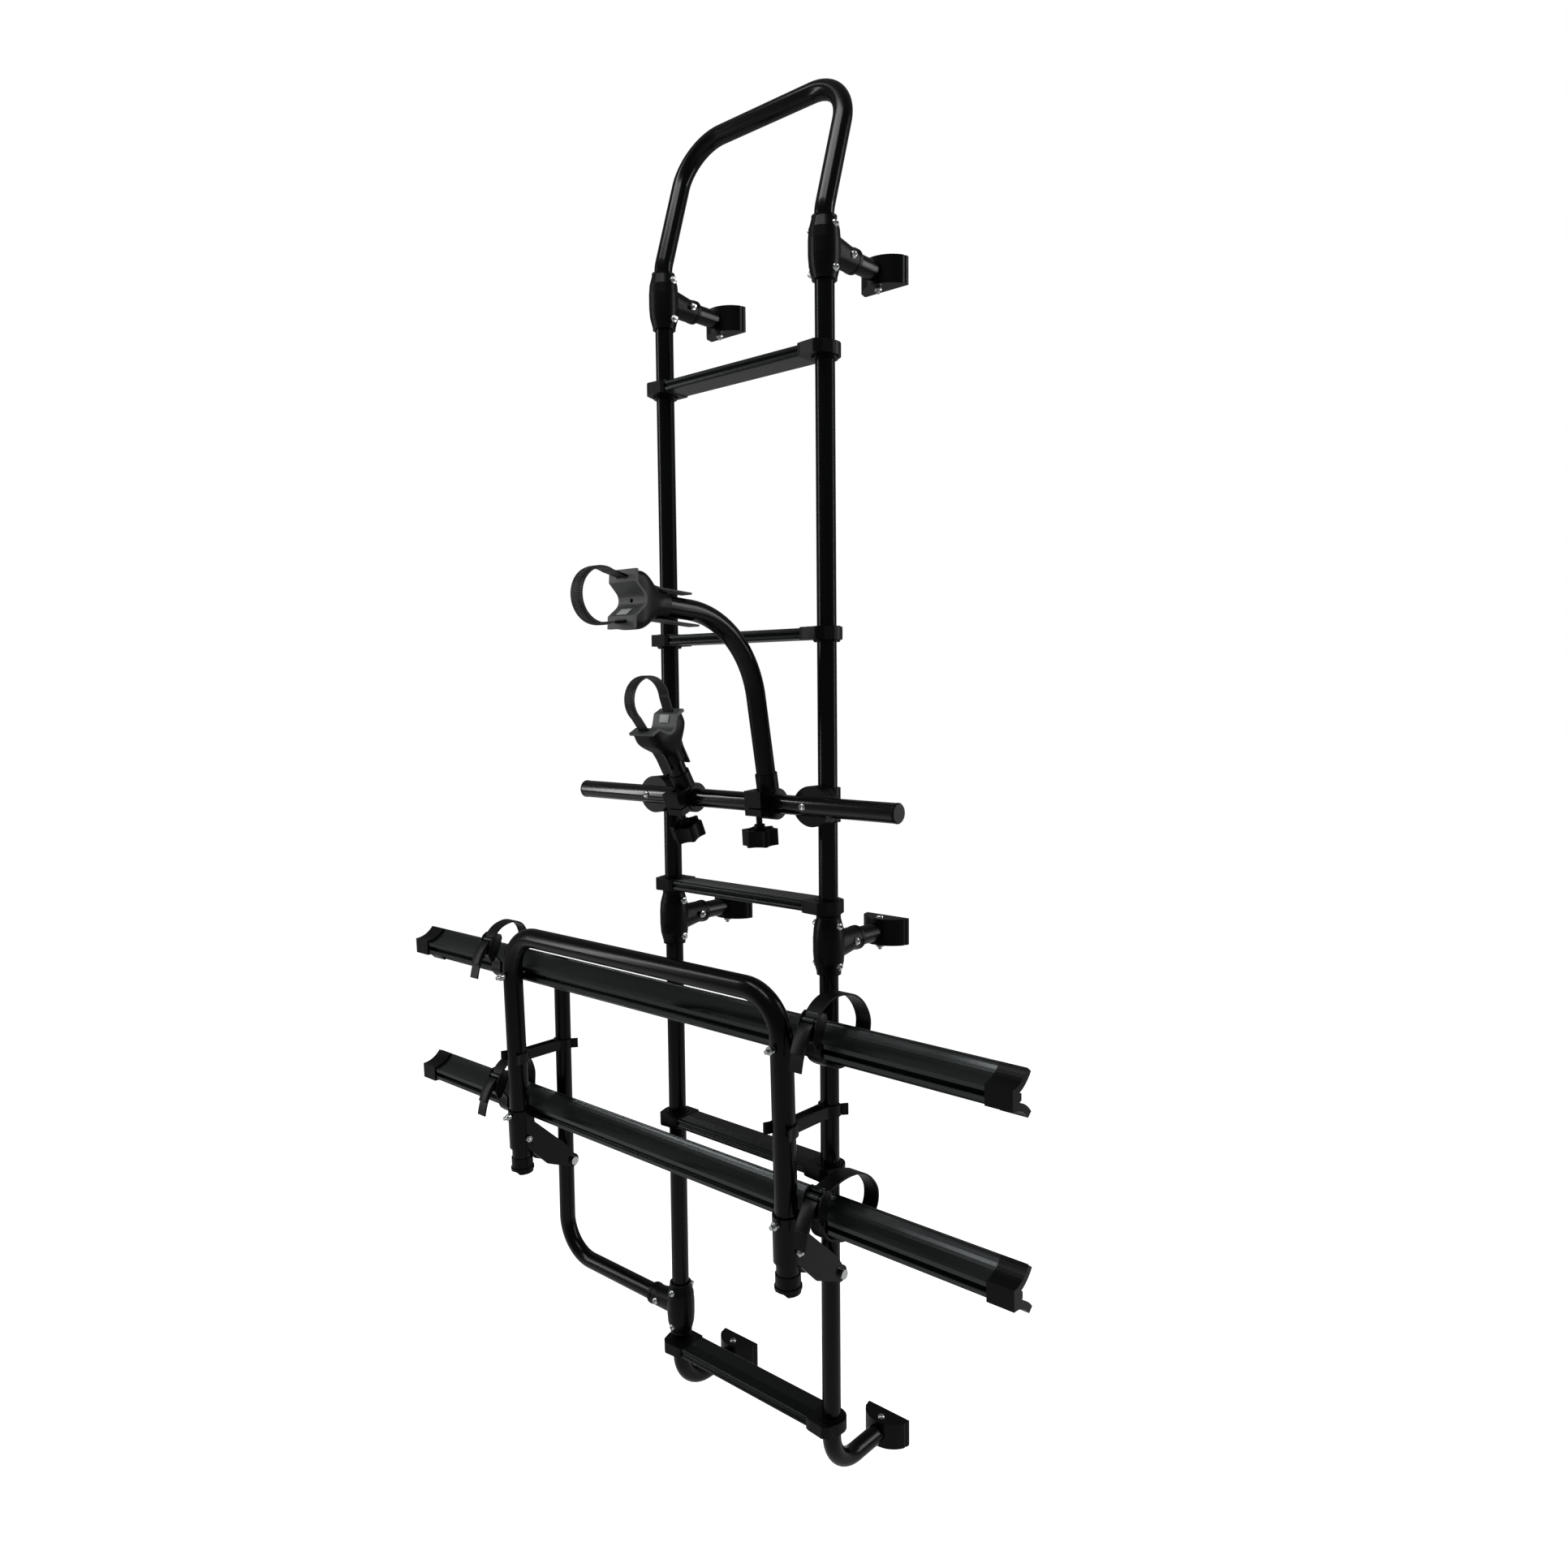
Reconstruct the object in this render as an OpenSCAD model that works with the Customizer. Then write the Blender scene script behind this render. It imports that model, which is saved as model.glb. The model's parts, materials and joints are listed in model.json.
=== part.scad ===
// Van ladder with a folding bicycle carrier, five treads, wall pads and two frame holder arms.
// X runs along the wall, Y runs into the wall (the wall is the plane Y = 0), Z is up.
// The origin is the middle of the flat back of the lower right wall pad.

/* [Ladder] */
// Outer diameter of the ladder rails, the support bar and the arm tubes
rail_d = 25; // [22:1:26]
// Distance between the two rail axes
rail_gap = 290; // [260:5:340]
// Distance from the wall to the rail axes
stand_off = 130; // [120:5:150]
// Radius of the bends at the foot of the rails, on the axis
bend_r = 50; // [44:2:56]
// Height of the lowest tread above the lower pads
tread_first = 70; // [68:1:76]
// Distance from one tread to the next
tread_pitch = 348.5; // [330:0.5:400]
// Number of treads
tread_count = 5; // [5:1:5]
// Depth of a tread, away from the wall
tread_depth = 44; // [40:1:48]
// Thickness of a tread
tread_t = 14; // [13:1:16]
// Number of ribs on the front half of a tread
rib_count = 7; // [4:1:8]
// Distance from the third tread down to the middle wall pads
mid_tee_drop = 51; // [51:1:60]
// Distance from the fifth tread up to the upper wall pads
upper_tee_rise = 122; // [100:2:140]
// Backward lean of the top hoop
top_lean = 17; // [10:1:25]
// Length of the sloping sides of the top hoop, from the kink to the top bar's axis
top_rise = 187; // [160:1:240]
// Corner radius of the top hoop, on the axis
top_bend_r = 63; // [50:1:75]

/* [Tube joints] */
// Height of a tee barrel
tee_h = 76; // [70:1:76]
// Outer diameter of a tee barrel at its ends
tee_end_d = 32; // [31:1:35]
// Outer diameter of a tee barrel at its middle
tee_mid_d = 41; // [38:1:44]
// Outer diameter of a tee's side sleeve
tee_stem_d = 31; // [30:1:34]
// Length of a tee's side sleeve from the rail axis
tee_stem_l = 57; // [50:1:64]
// Width of a wall pad along the wall
pad_w = 70; // [64:2:90]
// Height of a wall pad
pad_h = 36; // [34:1:44]
// Depth of a wall pad, away from the wall
pad_d = 31; // [28:1:36]

/* [Side post] */
// Distance from the right rail to the side post
post_gap = 559; // [520:1:600]
// Distance from the lowest tread up to the tee that carries the side post
post_tee_rise = 55; // [52:1:60]
// Radius of the side post's bend, on the axis
post_bend_r = 60; // [50:1:70]
// Height of the top of the side post above the fold axis
post_rise = 296; // [280:2:380]

/* [Carrier] */
// Outer diameter of the folding hoop
hoop_d = 30; // [28:1:31]
// Distance from the lowest tread up to the fold axis
hinge_rise = 211; // [205:1:220]
// Distance from the fold axis to the hoop's legs
leg_offset = 85; // [84:1:94]
// Lean of the folded hoop away from the wall
fold_lean = 1.5; // [0:0.5:4]
// Height of the hoop's top bar above the fold axis
hoop_rise = 392; // [385:1:420]
// Corner radius of the hoop, on the axis
hoop_r = 60; // [40:1:60]
// Length of a wheel rail
wheel_rail_l = 1170; // [1100:10:1240]
// Place of the middle of the wheel rails
wheel_rail_x = -272; // [-290:1:-260]
// Height of the lower wheel rail above the fold axis
lower_rail_z = 103; // [100:1:108]
// Height of the upper wheel rail above the fold axis
upper_rail_z = 327; // [315:1:330]
// Width of a wheel rail's open side
wheel_rail_w = 52; // [48:1:56]
// Depth of a wheel rail
wheel_rail_h = 33; // [30:1:34]
// Width of a wheel rail's box
wheel_box_w = 18; // [16:1:20]
// Wall thickness of a wheel rail
wheel_rail_t = 2; // [1.6:0.2:2.4]
// Width of the ratchet straps
wheel_strap_w = 23; // [18:1:26]
// Diameter of the fold bolts
hinge_bolt_d = 8; // [6:1:10]

/* [Frame holders] */
// Distance from the third tread up to the support bar
bar_rise = 131; // [120:1:140]
// Gap between the support bar and the rails
bar_gap = 7; // [5:1:9]
// Length of the support bar
bar_l = 572; // [540:4:640]
// Place of the support bar's right end
bar_right = 131; // [120:1:140]
// Place of the long arm along the bar
long_arm_x = -71; // [-90:1:-60]
// Place of the short arm along the bar
short_arm_x = -221; // [-235:1:-205]
// Turn of the long arm about the bar, outwards
long_arm_turn = 4; // [0:1:8]
// Turn of the short arm about the bar, outwards
short_arm_turn = 23; // [18:1:30]
// Lean of the arm tubes against the clamp screw
arm_lean = 6; // [2:1:8]
// Bend radius of the long arm
arm_bend_r = 127; // [95:1:135]
// Straight lower length of the long arm
arm_straight = 140; // [125:1:160]
// Rise of the long arm's outer end above the level
arm_end_rise = 4; // [0:1:8]
// Straight outer length of the long arm, up to its head
arm_reach = 50; // [46:1:66]
// Straight length of the short arm, up to its head
short_reach = 68; // [64:1:80]
// Width of an arm's clamp along the bar
clamp_w = 28; // [26:1:32]
// Diameter of a clamp screw
screw_d = 8; // [6:1:8]
// Width of a star knob
knob_d = 47; // [42:1:50]
// Height of a holder head's pad
head_h = 66; // [62:1:72]
// Width of a holder head's pad
head_w = 44; // [40:1:48]
// Width of the holder straps
strap_w = 18; // [12:1:20]

/* [Hidden] */

$fn = 48;
fit = 0.1;            // radial gap of a tube in a fixed socket
run_fit = 0.05;       // radial gap of a turning fit
seam = 0.05;          // a straight length drawn into a bend is this much smaller in radius
seam_in = 1.5;        // and starts this far inside the bend
end_gap = 0.5;        // gap between a tube's end and the floor of its socket
rail_r = rail_d / 2;
left_x = -rail_gap;
post_x = -post_gap;
rail_y = -stand_off;
tread_zs = [for (i = [0 : tread_count - 1]) tread_first + i * tread_pitch];
mid_tee_z = tread_zs[2] - mid_tee_drop;
upper_tee_z = tread_zs[4] + upper_tee_rise;
post_tee_z = tread_first + post_tee_rise;
hinge_z = tread_first + hinge_rise;
bar_z = tread_zs[2] + bar_rise;
bar_y = rail_y - rail_d - bar_gap;
hoop_leg = hoop_d / 2;

// Points of an arc about (cx, cy)
function arc(cx, cy, r, a0, a1, n = 12) =
    [for (i = [0 : n]) let (a = a0 + (a1 - a0) * i / n) [cx + r * cos(a), cy + r * sin(a)]];

// Lays a profile drawn as (depth, height) in the plane across the wall, and pulls it along X
module along_x(x0, x1) {
    translate([x0, 0, 0]) rotate([90, 0, 90]) linear_extrude(x1 - x0) children();
}

// A straight round bar between two points that share all but one coordinate
module bar_x(x0, x1, y, z, d) {
    translate([x0, y, z]) rotate([0, 90, 0]) cylinder(d = d, h = x1 - x0);
}

module bar_y(x, y0, y1, z, d) {
    translate([x, y0, z]) rotate([-90, 0, 0]) cylinder(d = d, h = y1 - y0);
}

// Solid tube bend: the axis arc of radius r in the XY plane, from angle a0 over the angle sweep
module tube_bend(d, r, a0, sweep) {
    rotate([0, 0, a0]) rotate_extrude(angle = sweep, $fn = 96) translate([r, 0]) circle(d = d);
}

/* Ladder */

// One rail: straight tube with a bend at its foot that runs to the wall
socket_floor = 11;    // from the wall to the floor of a pad's tube socket
module rail(x) {
    color("#2b2d2f") difference() {
        union() {
            translate([x, rail_y, bend_r]) cylinder(d = rail_d, h = upper_tee_z - 1 - bend_r);
            translate([x, rail_y + bend_r, bend_r]) rotate([90, 0, 90])
                tube_bend(rail_d, bend_r, 180, 90);
            bar_y(x, rail_y + bend_r, -socket_floor - end_gap, 0, rail_d);
        }
        if (x == 0) bar_x(-rail_d, rail_d, rail_y, hinge_z, hinge_bolt_d + 2 * fit);
    }
}

module rail_left() rail(left_x);
module rail_right() rail(0);

// Top hoop: two sloping sides and a top bar, on short upright feet that end in the upper tees
kink_r = 50;
kink_run = kink_r * tan(top_lean / 2);
top_foot_z = upper_tee_z + tee_h / 2 + 1;
module top_hoop() {
    rise = top_rise - kink_run;
    d = rail_d - 2 * seam;
    color("#2b2d2f") union() {
        for (x = [left_x, 0]) {
            translate([x, rail_y, upper_tee_z]) cylinder(d = rail_d, h = top_foot_z - upper_tee_z);
            translate([x, rail_y + kink_r, top_foot_z]) rotate([90, 0, -90])
                tube_bend(rail_d, kink_r, 0, top_lean);
        }
        translate([0, rail_y + kink_r * (1 - cos(top_lean)), top_foot_z + kink_r * sin(top_lean)])
            rotate([-top_lean, 0, 0]) {
                for (x = [left_x, 0]) translate([x, 0, -seam_in])
                    cylinder(d = d, h = rise - top_bend_r + seam_in);
                translate([-top_bend_r, 0, rise - top_bend_r]) rotate([90, 0, 0])
                    tube_bend(d, top_bend_r, 0, 90);
                translate([left_x + top_bend_r, 0, rise - top_bend_r]) rotate([90, 0, 0])
                    tube_bend(d, top_bend_r, 90, 90);
                bar_x(left_x + top_bend_r, -top_bend_r, 0, rise, d);
            }
    }
}

// Tread extrusion: fine ribs on its front half, a smooth rear half and a nose with two beads
tread_end = 24;       // from the rail axis to the end of the extrusion
tread_shift = -2;     // the tread sits this much in front of the rail axes
rib_pitch = 2.2;
rib_depth = 0.8;
rib_start = 4;        // from the nose to the first rib
tread_groove = 1.4;   // depth of the groove between the nose's beads
module tread_section() {
    back = tread_depth / 2;
    top = tread_t / 2;
    bead = tread_t / 4 - 0.3;
    nose = -back + bead;
    polygon(concat(
        [[nose, -top]],
        arc(nose, -top + bead, bead, 270, 110, 6),
        [[nose - bead + tread_groove, 0]],
        arc(nose, top - bead, bead, 250, 90, 6),
        [for (i = [0 : rib_count - 1], p = [[0, 0], [0.4, 1], [1.1, 1], [1.5, 0]])
            [-back + rib_start + i * rib_pitch + p[0], top - rib_depth * p[1]]],
        arc(back - 2.5, top - 2.5, 2.5, 90, 0, 4),
        arc(back - 2.5, -top + 2.5, 2.5, 0, -90, 4)));
}

module tread(i) {
    color("#4a4e50") translate([0, rail_y + tread_shift, tread_zs[i]])
        along_x(left_x + tread_end, -tread_end) tread_section();
}
module tread_1() tread(0);
module tread_2() tread(1);
module tread_3() tread(2);
module tread_4() tread(3);
module tread_5() tread(4);

// Plastic end clamp of a tread: a block that takes the nose, with a round collar about the rail
collar_r = rail_r + 8;
clamp_t = tread_t + 2;
skirt_h = 3;          // the collar's thin skirt below the block
module tread_clamp(side) {
    front = -tread_depth / 2 + tread_shift - 1;
    rear = tread_depth / 2 + tread_shift + 0.5;
    mirror([side < 0 ? 1 : 0, 0, 0]) difference() {
        union() {
            translate([0, 0, -clamp_t / 2]) linear_extrude(clamp_t) polygon(concat(
                [[-tread_end, front], [-18, front - 1.5]],
                arc(4, front - 1.5 + 3, 5, -110, -50, 4),
                [[14, front + 3], [19, -8]],
                arc(0, 0, collar_r - 0.5, -8, 84, 10),
                [[-2, rear], [-tread_end, rear]]));
            translate([0, 0, -clamp_t / 2 - skirt_h]) cylinder(r = rail_r + 4, h = clamp_t + skirt_h);
            translate([0, 0, -clamp_t / 2 - 1.5]) cylinder(r = collar_r - 3, h = clamp_t + 2.5);
        }
        translate([0, 0, -clamp_t]) cylinder(r = rail_r + fit, h = 2 * clamp_t);
    }
}
module tread_clamps(x, side) {
    color("#26282a") for (z = tread_zs) translate([x, rail_y, z]) tread_clamp(side);
}
module tread_clamps_left() tread_clamps(left_x, -1);
module tread_clamps_right() tread_clamps(0, 1);

/* Tees, stand-offs and wall pads */

// Tee: two half shells that bulge round the rail, with a side sleeve along +Y and a gusset on one side
rim_h = 3;            // height of the plain rim at a barrel's ends
belly_h = 18;         // height of the barrel's widest part
shell_gap = 0.6;      // gap between the two half shells
gusset_l = 44;
gusset_lift = 5;      // the gusset's axis starts this far above the sleeve's
gusset_tilt = 7;
sleeve_rim = 4;       // length of the raised rim at the sleeve's end
module tee_body(gusset_side) {
    half = tee_h / 2;
    shoulder = half - rim_h - 13;
    difference() {
        union() {
            rotate_extrude() polygon([[0, -half], [tee_end_d / 2, -half], [tee_end_d / 2, rim_h - half],
                [tee_mid_d / 2 - 1, -shoulder], [tee_mid_d / 2, -belly_h / 2], [tee_mid_d / 2, belly_h / 2],
                [tee_mid_d / 2 - 1, shoulder], [tee_end_d / 2, half - rim_h], [tee_end_d / 2, half],
                [0, half]]);
            rotate([-90, 0, 0]) cylinder(d = tee_stem_d, h = tee_stem_l);
            rotate([-90, 0, 0]) translate([0, 0, tee_stem_l - sleeve_rim])
                cylinder(d = tee_stem_d + 1.4, h = sleeve_rim + 1);
            translate([0, 4, gusset_side * gusset_lift]) rotate([-90 - gusset_side * gusset_tilt, 0, 0])
                cylinder(d1 = tee_stem_d + 4, d2 = tee_stem_d - 1, h = gusset_l);
        }
        translate([0, 0, -tee_h]) cylinder(r = rail_r + fit, h = 2 * tee_h);
        translate([0, rail_r + 6, 0]) rotate([-90, 0, 0]) cylinder(r = rail_r + fit, h = tee_stem_l);
        translate([-shell_gap / 2, -tee_mid_d, -tee_h]) cube([shell_gap, tee_mid_d + 2 * tee_stem_l, 2 * tee_h]);
    }
}
module tee(x, z, gusset_side, turn = 0) {
    color("#232527") translate([x, rail_y, z]) rotate([0, 0, turn]) tee_body(gusset_side);
}
module tee_upper_left() tee(left_x, upper_tee_z, 1);
module tee_upper_right() tee(0, upper_tee_z, 1);
module tee_mid_left() tee(left_x, mid_tee_z, -1);
module tee_mid_right() tee(0, mid_tee_z, -1);
module tee_side_post() tee(left_x, post_tee_z, 1, 90);

module stand_off_tubes() {
    color("#2b2d2f") for (x = [left_x, 0], z = [mid_tee_z, upper_tee_z])
        bar_y(x, rail_y + rail_r + 7, -socket_floor - end_gap, z, rail_d);
}

// Wall pad: flat on the wall, arched towards the rail, with rounded ends and a socket for the tube
pad_edge = 7;         // depth of the pad's ends
pad_corner = 3;
module wall_pad(x, z) {
    half = pad_w / 2;
    rise = pad_d - pad_edge;
    arc_r = (half * half + rise * rise) / (2 * rise);
    arc_a = asin((half - 1.5) / arc_r);
    color("#232527") translate([x, 0, z]) difference() {
        translate([0, 0, -pad_h / 2]) linear_extrude(pad_h) polygon(concat(
            [[half, 0]], arc(half - pad_corner, -pad_edge + pad_corner, pad_corner, 0, -60, 4),
            arc(0, -pad_d + arc_r, arc_r, -90 + arc_a, -90 - arc_a, 24),
            arc(-half + pad_corner, -pad_edge + pad_corner, pad_corner, -120, -180, 4), [[-half, 0]]));
        translate([0, -socket_floor, 0]) rotate([90, 0, 0]) cylinder(r = rail_r + fit, h = pad_d);
    }
}
module wall_pads_upper() for (x = [left_x, 0]) wall_pad(x, upper_tee_z);
module wall_pads_mid() for (x = [left_x, 0]) wall_pad(x, mid_tee_z);
module wall_pad_lower_left() wall_pad(left_x, 0);
module wall_pad_lower_right() wall_pad(0, 0);

/* Side post */

post_top = hinge_z + post_rise;
module side_post() {
    color("#2b2d2f") difference() {
        union() {
            bar_x(post_x + post_bend_r, left_x - rail_r - 7, rail_y, post_tee_z, rail_d);
            translate([post_x + post_bend_r, rail_y, post_tee_z + post_bend_r]) rotate([90, 0, 0])
                tube_bend(rail_d, post_bend_r, 180, 90);
            translate([post_x, rail_y, post_tee_z + post_bend_r])
                cylinder(d = rail_d, h = post_top - post_tee_z - post_bend_r);
        }
        bar_x(post_x - rail_d, post_x + rail_d, rail_y, hinge_z, hinge_bolt_d + 2 * fit);
    }
}

module side_post_cap() {
    color("#1f2122") translate([post_x, rail_y, post_top]) union() {
        cylinder(d = rail_d + 1, h = 3);
        translate([0, 0, 3]) cylinder(d1 = rail_d + 1, d2 = rail_d - 3, h = 2);
    }
}

/* Carrier: everything that folds, drawn upright and then leaned about the fold axis */

module folded() {
    translate([0, rail_y, hinge_z]) rotate([fold_lean, 0, 0]) children();
}

leg_y = -leg_offset;
// Distance from the post's axis to the folded leg's axis at a height
function leg_out(z) = (leg_offset + (z - hinge_z) * sin(fold_lean)) / cos(fold_lean);
cap_low = 8;          // lowest edge of the saddle caps above the fold axis
cap_h = 25;
leg_low = cap_low + 14;
saddle_r = rail_r + 0.5;
bolt_hole_d = 6.4;

module carrier_hoop() {
    color("#2f3133") folded() difference() {
        union() {
            for (x = [post_x, 0]) translate([x, leg_y, leg_low])
                cylinder(d = hoop_d, h = hoop_rise - hoop_r - leg_low);
            translate([-hoop_r, leg_y, hoop_rise - hoop_r]) rotate([90, 0, 0])
                tube_bend(hoop_d, hoop_r, 0, 90);
            translate([post_x + hoop_r, leg_y, hoop_rise - hoop_r]) rotate([90, 0, 0])
                tube_bend(hoop_d, hoop_r, 90, 90);
            bar_x(post_x + hoop_r, -hoop_r, leg_y, hoop_rise, hoop_d);
        }
        for (x = [post_x, 0], z = [lower_rail_z, upper_rail_z])
            bar_y(x, leg_y - hoop_d, leg_y + hoop_d, z, bolt_hole_d);
    }
}

// Saddle caps close the leg ends and sit against the posts when the carrier is folded down
module hoop_end_caps() {
    color("#1f2122") folded() for (x = [post_x, 0]) difference() {
        union() {
            translate([x, leg_y, cap_low]) cylinder(d = hoop_d + 3, h = cap_h);
            translate([x, leg_y, cap_low + 5]) cylinder(d = hoop_d + 6, h = 4);
        }
        translate([x, leg_y, leg_low - fit]) cylinder(r = hoop_leg + fit, h = cap_h);
        bar_y(x, leg_y - hoop_d, leg_y + hoop_d, 0, 2 * saddle_r);
    }
}

// Fold bracket: two cheeks and a front sleeve round the leg, with the fold bolt at the rear
cheek_t = 3;
cheek_in = hoop_leg + 0.3;
hinge_r = hinge_bolt_d / 2 + 7;
leg_bolt_z = 66;
sleeve_low = 49;
sleeve_high = lower_rail_z + 7;
rail_gap_leg = 0.3;
module cheek_outline() {
    under_rail = lower_rail_z - wheel_box_w / 2 - 5;
    circle(r = hinge_r);
    polygon([[3, hinge_r - 0.6], [-8, 27], [leg_y + hoop_leg - 1, under_rail],
        [leg_y + hoop_leg - 2, sleeve_high], [leg_y, sleeve_high], [leg_y, sleeve_low], [-50, 12],
        [-7, -hinge_r + 2.6]]);
}
module fold_bracket(x) {
    color("#303335") folded() difference() {
        union() {
            for (s = [-1, 1]) along_x(x + (s < 0 ? -cheek_in - cheek_t : cheek_in),
                x + (s < 0 ? -cheek_in : cheek_in + cheek_t)) cheek_outline();
            translate([x, leg_y, sleeve_low]) intersection() {
                difference() {
                    cylinder(r = cheek_in + cheek_t, h = sleeve_high - sleeve_low);
                    translate([0, 0, -1]) cylinder(r = cheek_in, h = 100);
                }
                translate([-50, -50, -1]) cube([100, 50, 100]);
            }
        }
        bar_x(x - 30, x + 30, 0, 0, hinge_bolt_d + 2 * run_fit);
        bar_x(x - 30, x + 30, leg_y, leg_bolt_z, bolt_hole_d);
        bar_y(x, leg_y - 30, leg_y, lower_rail_z, bolt_hole_d);
    }
}
module fold_bracket_left() fold_bracket(post_x);
module fold_bracket_right() fold_bracket(0);

// Fold bolts through the posts, with a nut outside either cheek
bolt_nut_d = hinge_bolt_d + 5;
module fold_bolts() {
    reach = cheek_in + cheek_t;
    color("#b9bcbf") for (x = [post_x, 0]) translate([x, rail_y, hinge_z]) rotate([0, 90, 0]) union() {
        translate([0, 0, -reach - 5]) cylinder(d = hinge_bolt_d, h = 2 * reach + 10);
        translate([0, 0, reach + 0.3]) cylinder(d = bolt_nut_d, h = 5);
        translate([0, 0, -reach - 5.3]) cylinder(d = bolt_nut_d, h = 5);
    }
}

// Wheel rail outline as (distance from the leg, height), grown by g: a box with two flared flanks
flank_r = 44;         // the flanks bulge towards the trough with this radius
trough_floor = 13;    // from the box's face to the floor of the trough
flank_dx = wheel_rail_h - 1;
flank_dy = (wheel_rail_w - wheel_box_w) / 2;
flank_half = sqrt(flank_dx * flank_dx + flank_dy * flank_dy) / 2;
flank_drop = sqrt(flank_r * flank_r - flank_half * flank_half);
flank_x = 1 + flank_dx / 2 - flank_dy / (2 * flank_half) * flank_drop;
flank_z = wheel_box_w / 2 + flank_dy / 2 + flank_dx / (2 * flank_half) * flank_drop;
flank_a0 = atan2(wheel_box_w / 2 - flank_z, 1 - flank_x);
flank_a1 = atan2(wheel_rail_w / 2 - flank_z, wheel_rail_h - flank_x);
function flank(r, from, to) = [for (i = [from : to < from ? -1 : 1 : to])
    let (a = flank_a0 + (flank_a1 - flank_a0) * i / 8) [flank_x + r * cos(a), flank_z + r * sin(a)]];
module wheel_rail_outline(g) {
    b = wheel_box_w / 2;
    up = concat([[-g, 0], [-g, b + g]], flank(flank_r - g, 0, 8),
        flank(flank_r + wheel_rail_t + g, 8, 2), [[trough_floor + g, 4], [trough_floor + g, 0]]);
    down = [for (i = [len(up) - 1 : -1 : 0]) [up[i][0], -up[i][1]]];
    polygon(concat(up, down));
}
module wheel_rail_section() {
    difference() {
        union() {
            wheel_rail_outline(0);
            for (s = [-1, 1]) translate([wheel_rail_h, s * (wheel_rail_w / 2 - 0.6)]) circle(r = 1.6);
        }
        translate([-1, -3.5]) square([4.5, 7]);
        translate([2.5, -6.5]) square([6.5, 13]);
    }
}
module wheel_rail(z) {
    color("#3a3d3f") folded() translate([0, leg_y + hoop_leg + rail_gap_leg, z])
        along_x(wheel_rail_x - wheel_rail_l / 2, wheel_rail_x + wheel_rail_l / 2) wheel_rail_section();
}
module wheel_rail_upper() wheel_rail(upper_rail_z);
module wheel_rail_lower() wheel_rail(lower_rail_z);

// End caps of the wheel rails: a sleeve over the section, closed at its outer end
cap_wall = 2.2;
cap_sleeve = 32;
cap_clear = 1.2;      // room for the beads on the rail's lips
module wheel_rail_caps() {
    end = wheel_rail_l / 2;
    color("#1f2122") folded() for (z = [lower_rail_z, upper_rail_z], s = [-1, 1])
        translate([wheel_rail_x, leg_y + hoop_leg + rail_gap_leg, z]) mirror([s < 0 ? 1 : 0, 0, 0])
            difference() {
                along_x(end - cap_sleeve, end + 3) wheel_rail_outline(cap_wall + cap_clear);
                along_x(end - cap_sleeve - 1, end + 0.3) union() {
                    wheel_rail_outline(fit);
                    for (t = [-1, 1]) translate([wheel_rail_h, t * (wheel_rail_w / 2 - 0.6)])
                        circle(r = 1.6 + fit);
                }
                along_x(end - cap_sleeve - 1, end + 4) translate([-9, -wheel_rail_w])
                    square([9 - cap_wall, 2 * wheel_rail_w]);
            }
}

module wheel_rail_bolts() {
    front = leg_y - hoop_leg;
    slot = leg_y + hoop_leg + rail_gap_leg;
    color("#b9bcbf") folded() for (z = [lower_rail_z, upper_rail_z], x = [post_x, 0]) union() {
        bar_y(x, front - 15, slot + 7, z, 6);
        bar_y(x, front - 9, front - 4, z, 11);
        bar_y(x, slot + 3, slot + 7, z, 11);
    }
}

// Wheel strap: a ratchet strap round the wheel rail, with its loop standing open above the trough
wheel_strap_t = 2.6;
loop_r = 38;
loop_x = 64;
loop_z = 6;
module wheel_strap_path(grow) {
    b = wheel_box_w / 2 + 0.3;
    w = wheel_rail_w / 2 + 3;
    lip = wheel_rail_h + 0.5;
    polygon(concat(
        [[-grow, -b - 0.6 * grow], [-grow, b + 0.6 * grow], [lip - 0.5 * grow, w + grow]],
        arc(loop_x, loop_z, loop_r + grow, 140, -118, 36),
        [[lip - 0.5 * grow, -w - grow]]));
}
module at_wheel_rail(x, z) {
    folded() translate([x, leg_y + hoop_leg + rail_gap_leg, z]) children();
}
module wheel_strap(x, z) {
    color("#1c1d1e") at_wheel_rail(x, z) along_x(-wheel_strap_w / 2, wheel_strap_w / 2) difference() {
        wheel_strap_path(wheel_strap_t);
        wheel_strap_path(0);
    }
}
strap_left = 63;      // from the side post to the left straps
strap_right = 41;     // from the right rail to the right straps
strap_xs = [post_x - strap_left, strap_right];
module wheel_strap_upper_left() wheel_strap(strap_xs[0], upper_rail_z);
module wheel_strap_upper_right() wheel_strap(strap_xs[1], upper_rail_z);
module wheel_strap_lower_left() wheel_strap(strap_xs[0], lower_rail_z);
module wheel_strap_lower_right() wheel_strap(strap_xs[1], lower_rail_z);

// Ratchet buckle: a body on the strap at the rail's upper lip, with a lever that points forwards
buckle_gap = 0.3;
module buckle_outline() {
    polygon(concat([[0, 0], [26, 0]], arc(26, 7, 7, -90, 60, 8), [[18, 14], [4, 9], [0, 4]]));
}
module wheel_strap_buckles() {
    dx = wheel_rail_h + 0.5;
    dz = wheel_rail_w / 2 + 3 - wheel_box_w / 2 - 0.3;
    slope = atan2(dz, dx);
    off = wheel_strap_t + buckle_gap;
    color("#232527") for (x = strap_xs, z = [lower_rail_z, upper_rail_z]) at_wheel_rail(x, z) union() {
        along_x(-wheel_strap_w / 2 - 2, wheel_strap_w / 2 + 2)
            translate([9 - off * sin(slope), wheel_box_w / 2 + 0.3 + 9 * tan(slope) + off * cos(slope)])
                rotate(slope) buckle_outline();
        along_x(-7, 7) translate([9, wheel_box_w / 2 + 14]) rotate(slope)
            polygon([[8, -4], [8, 1], [-22, -1], [-24, -4]]);
    }
}

/* Parking clips on the posts */

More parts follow.
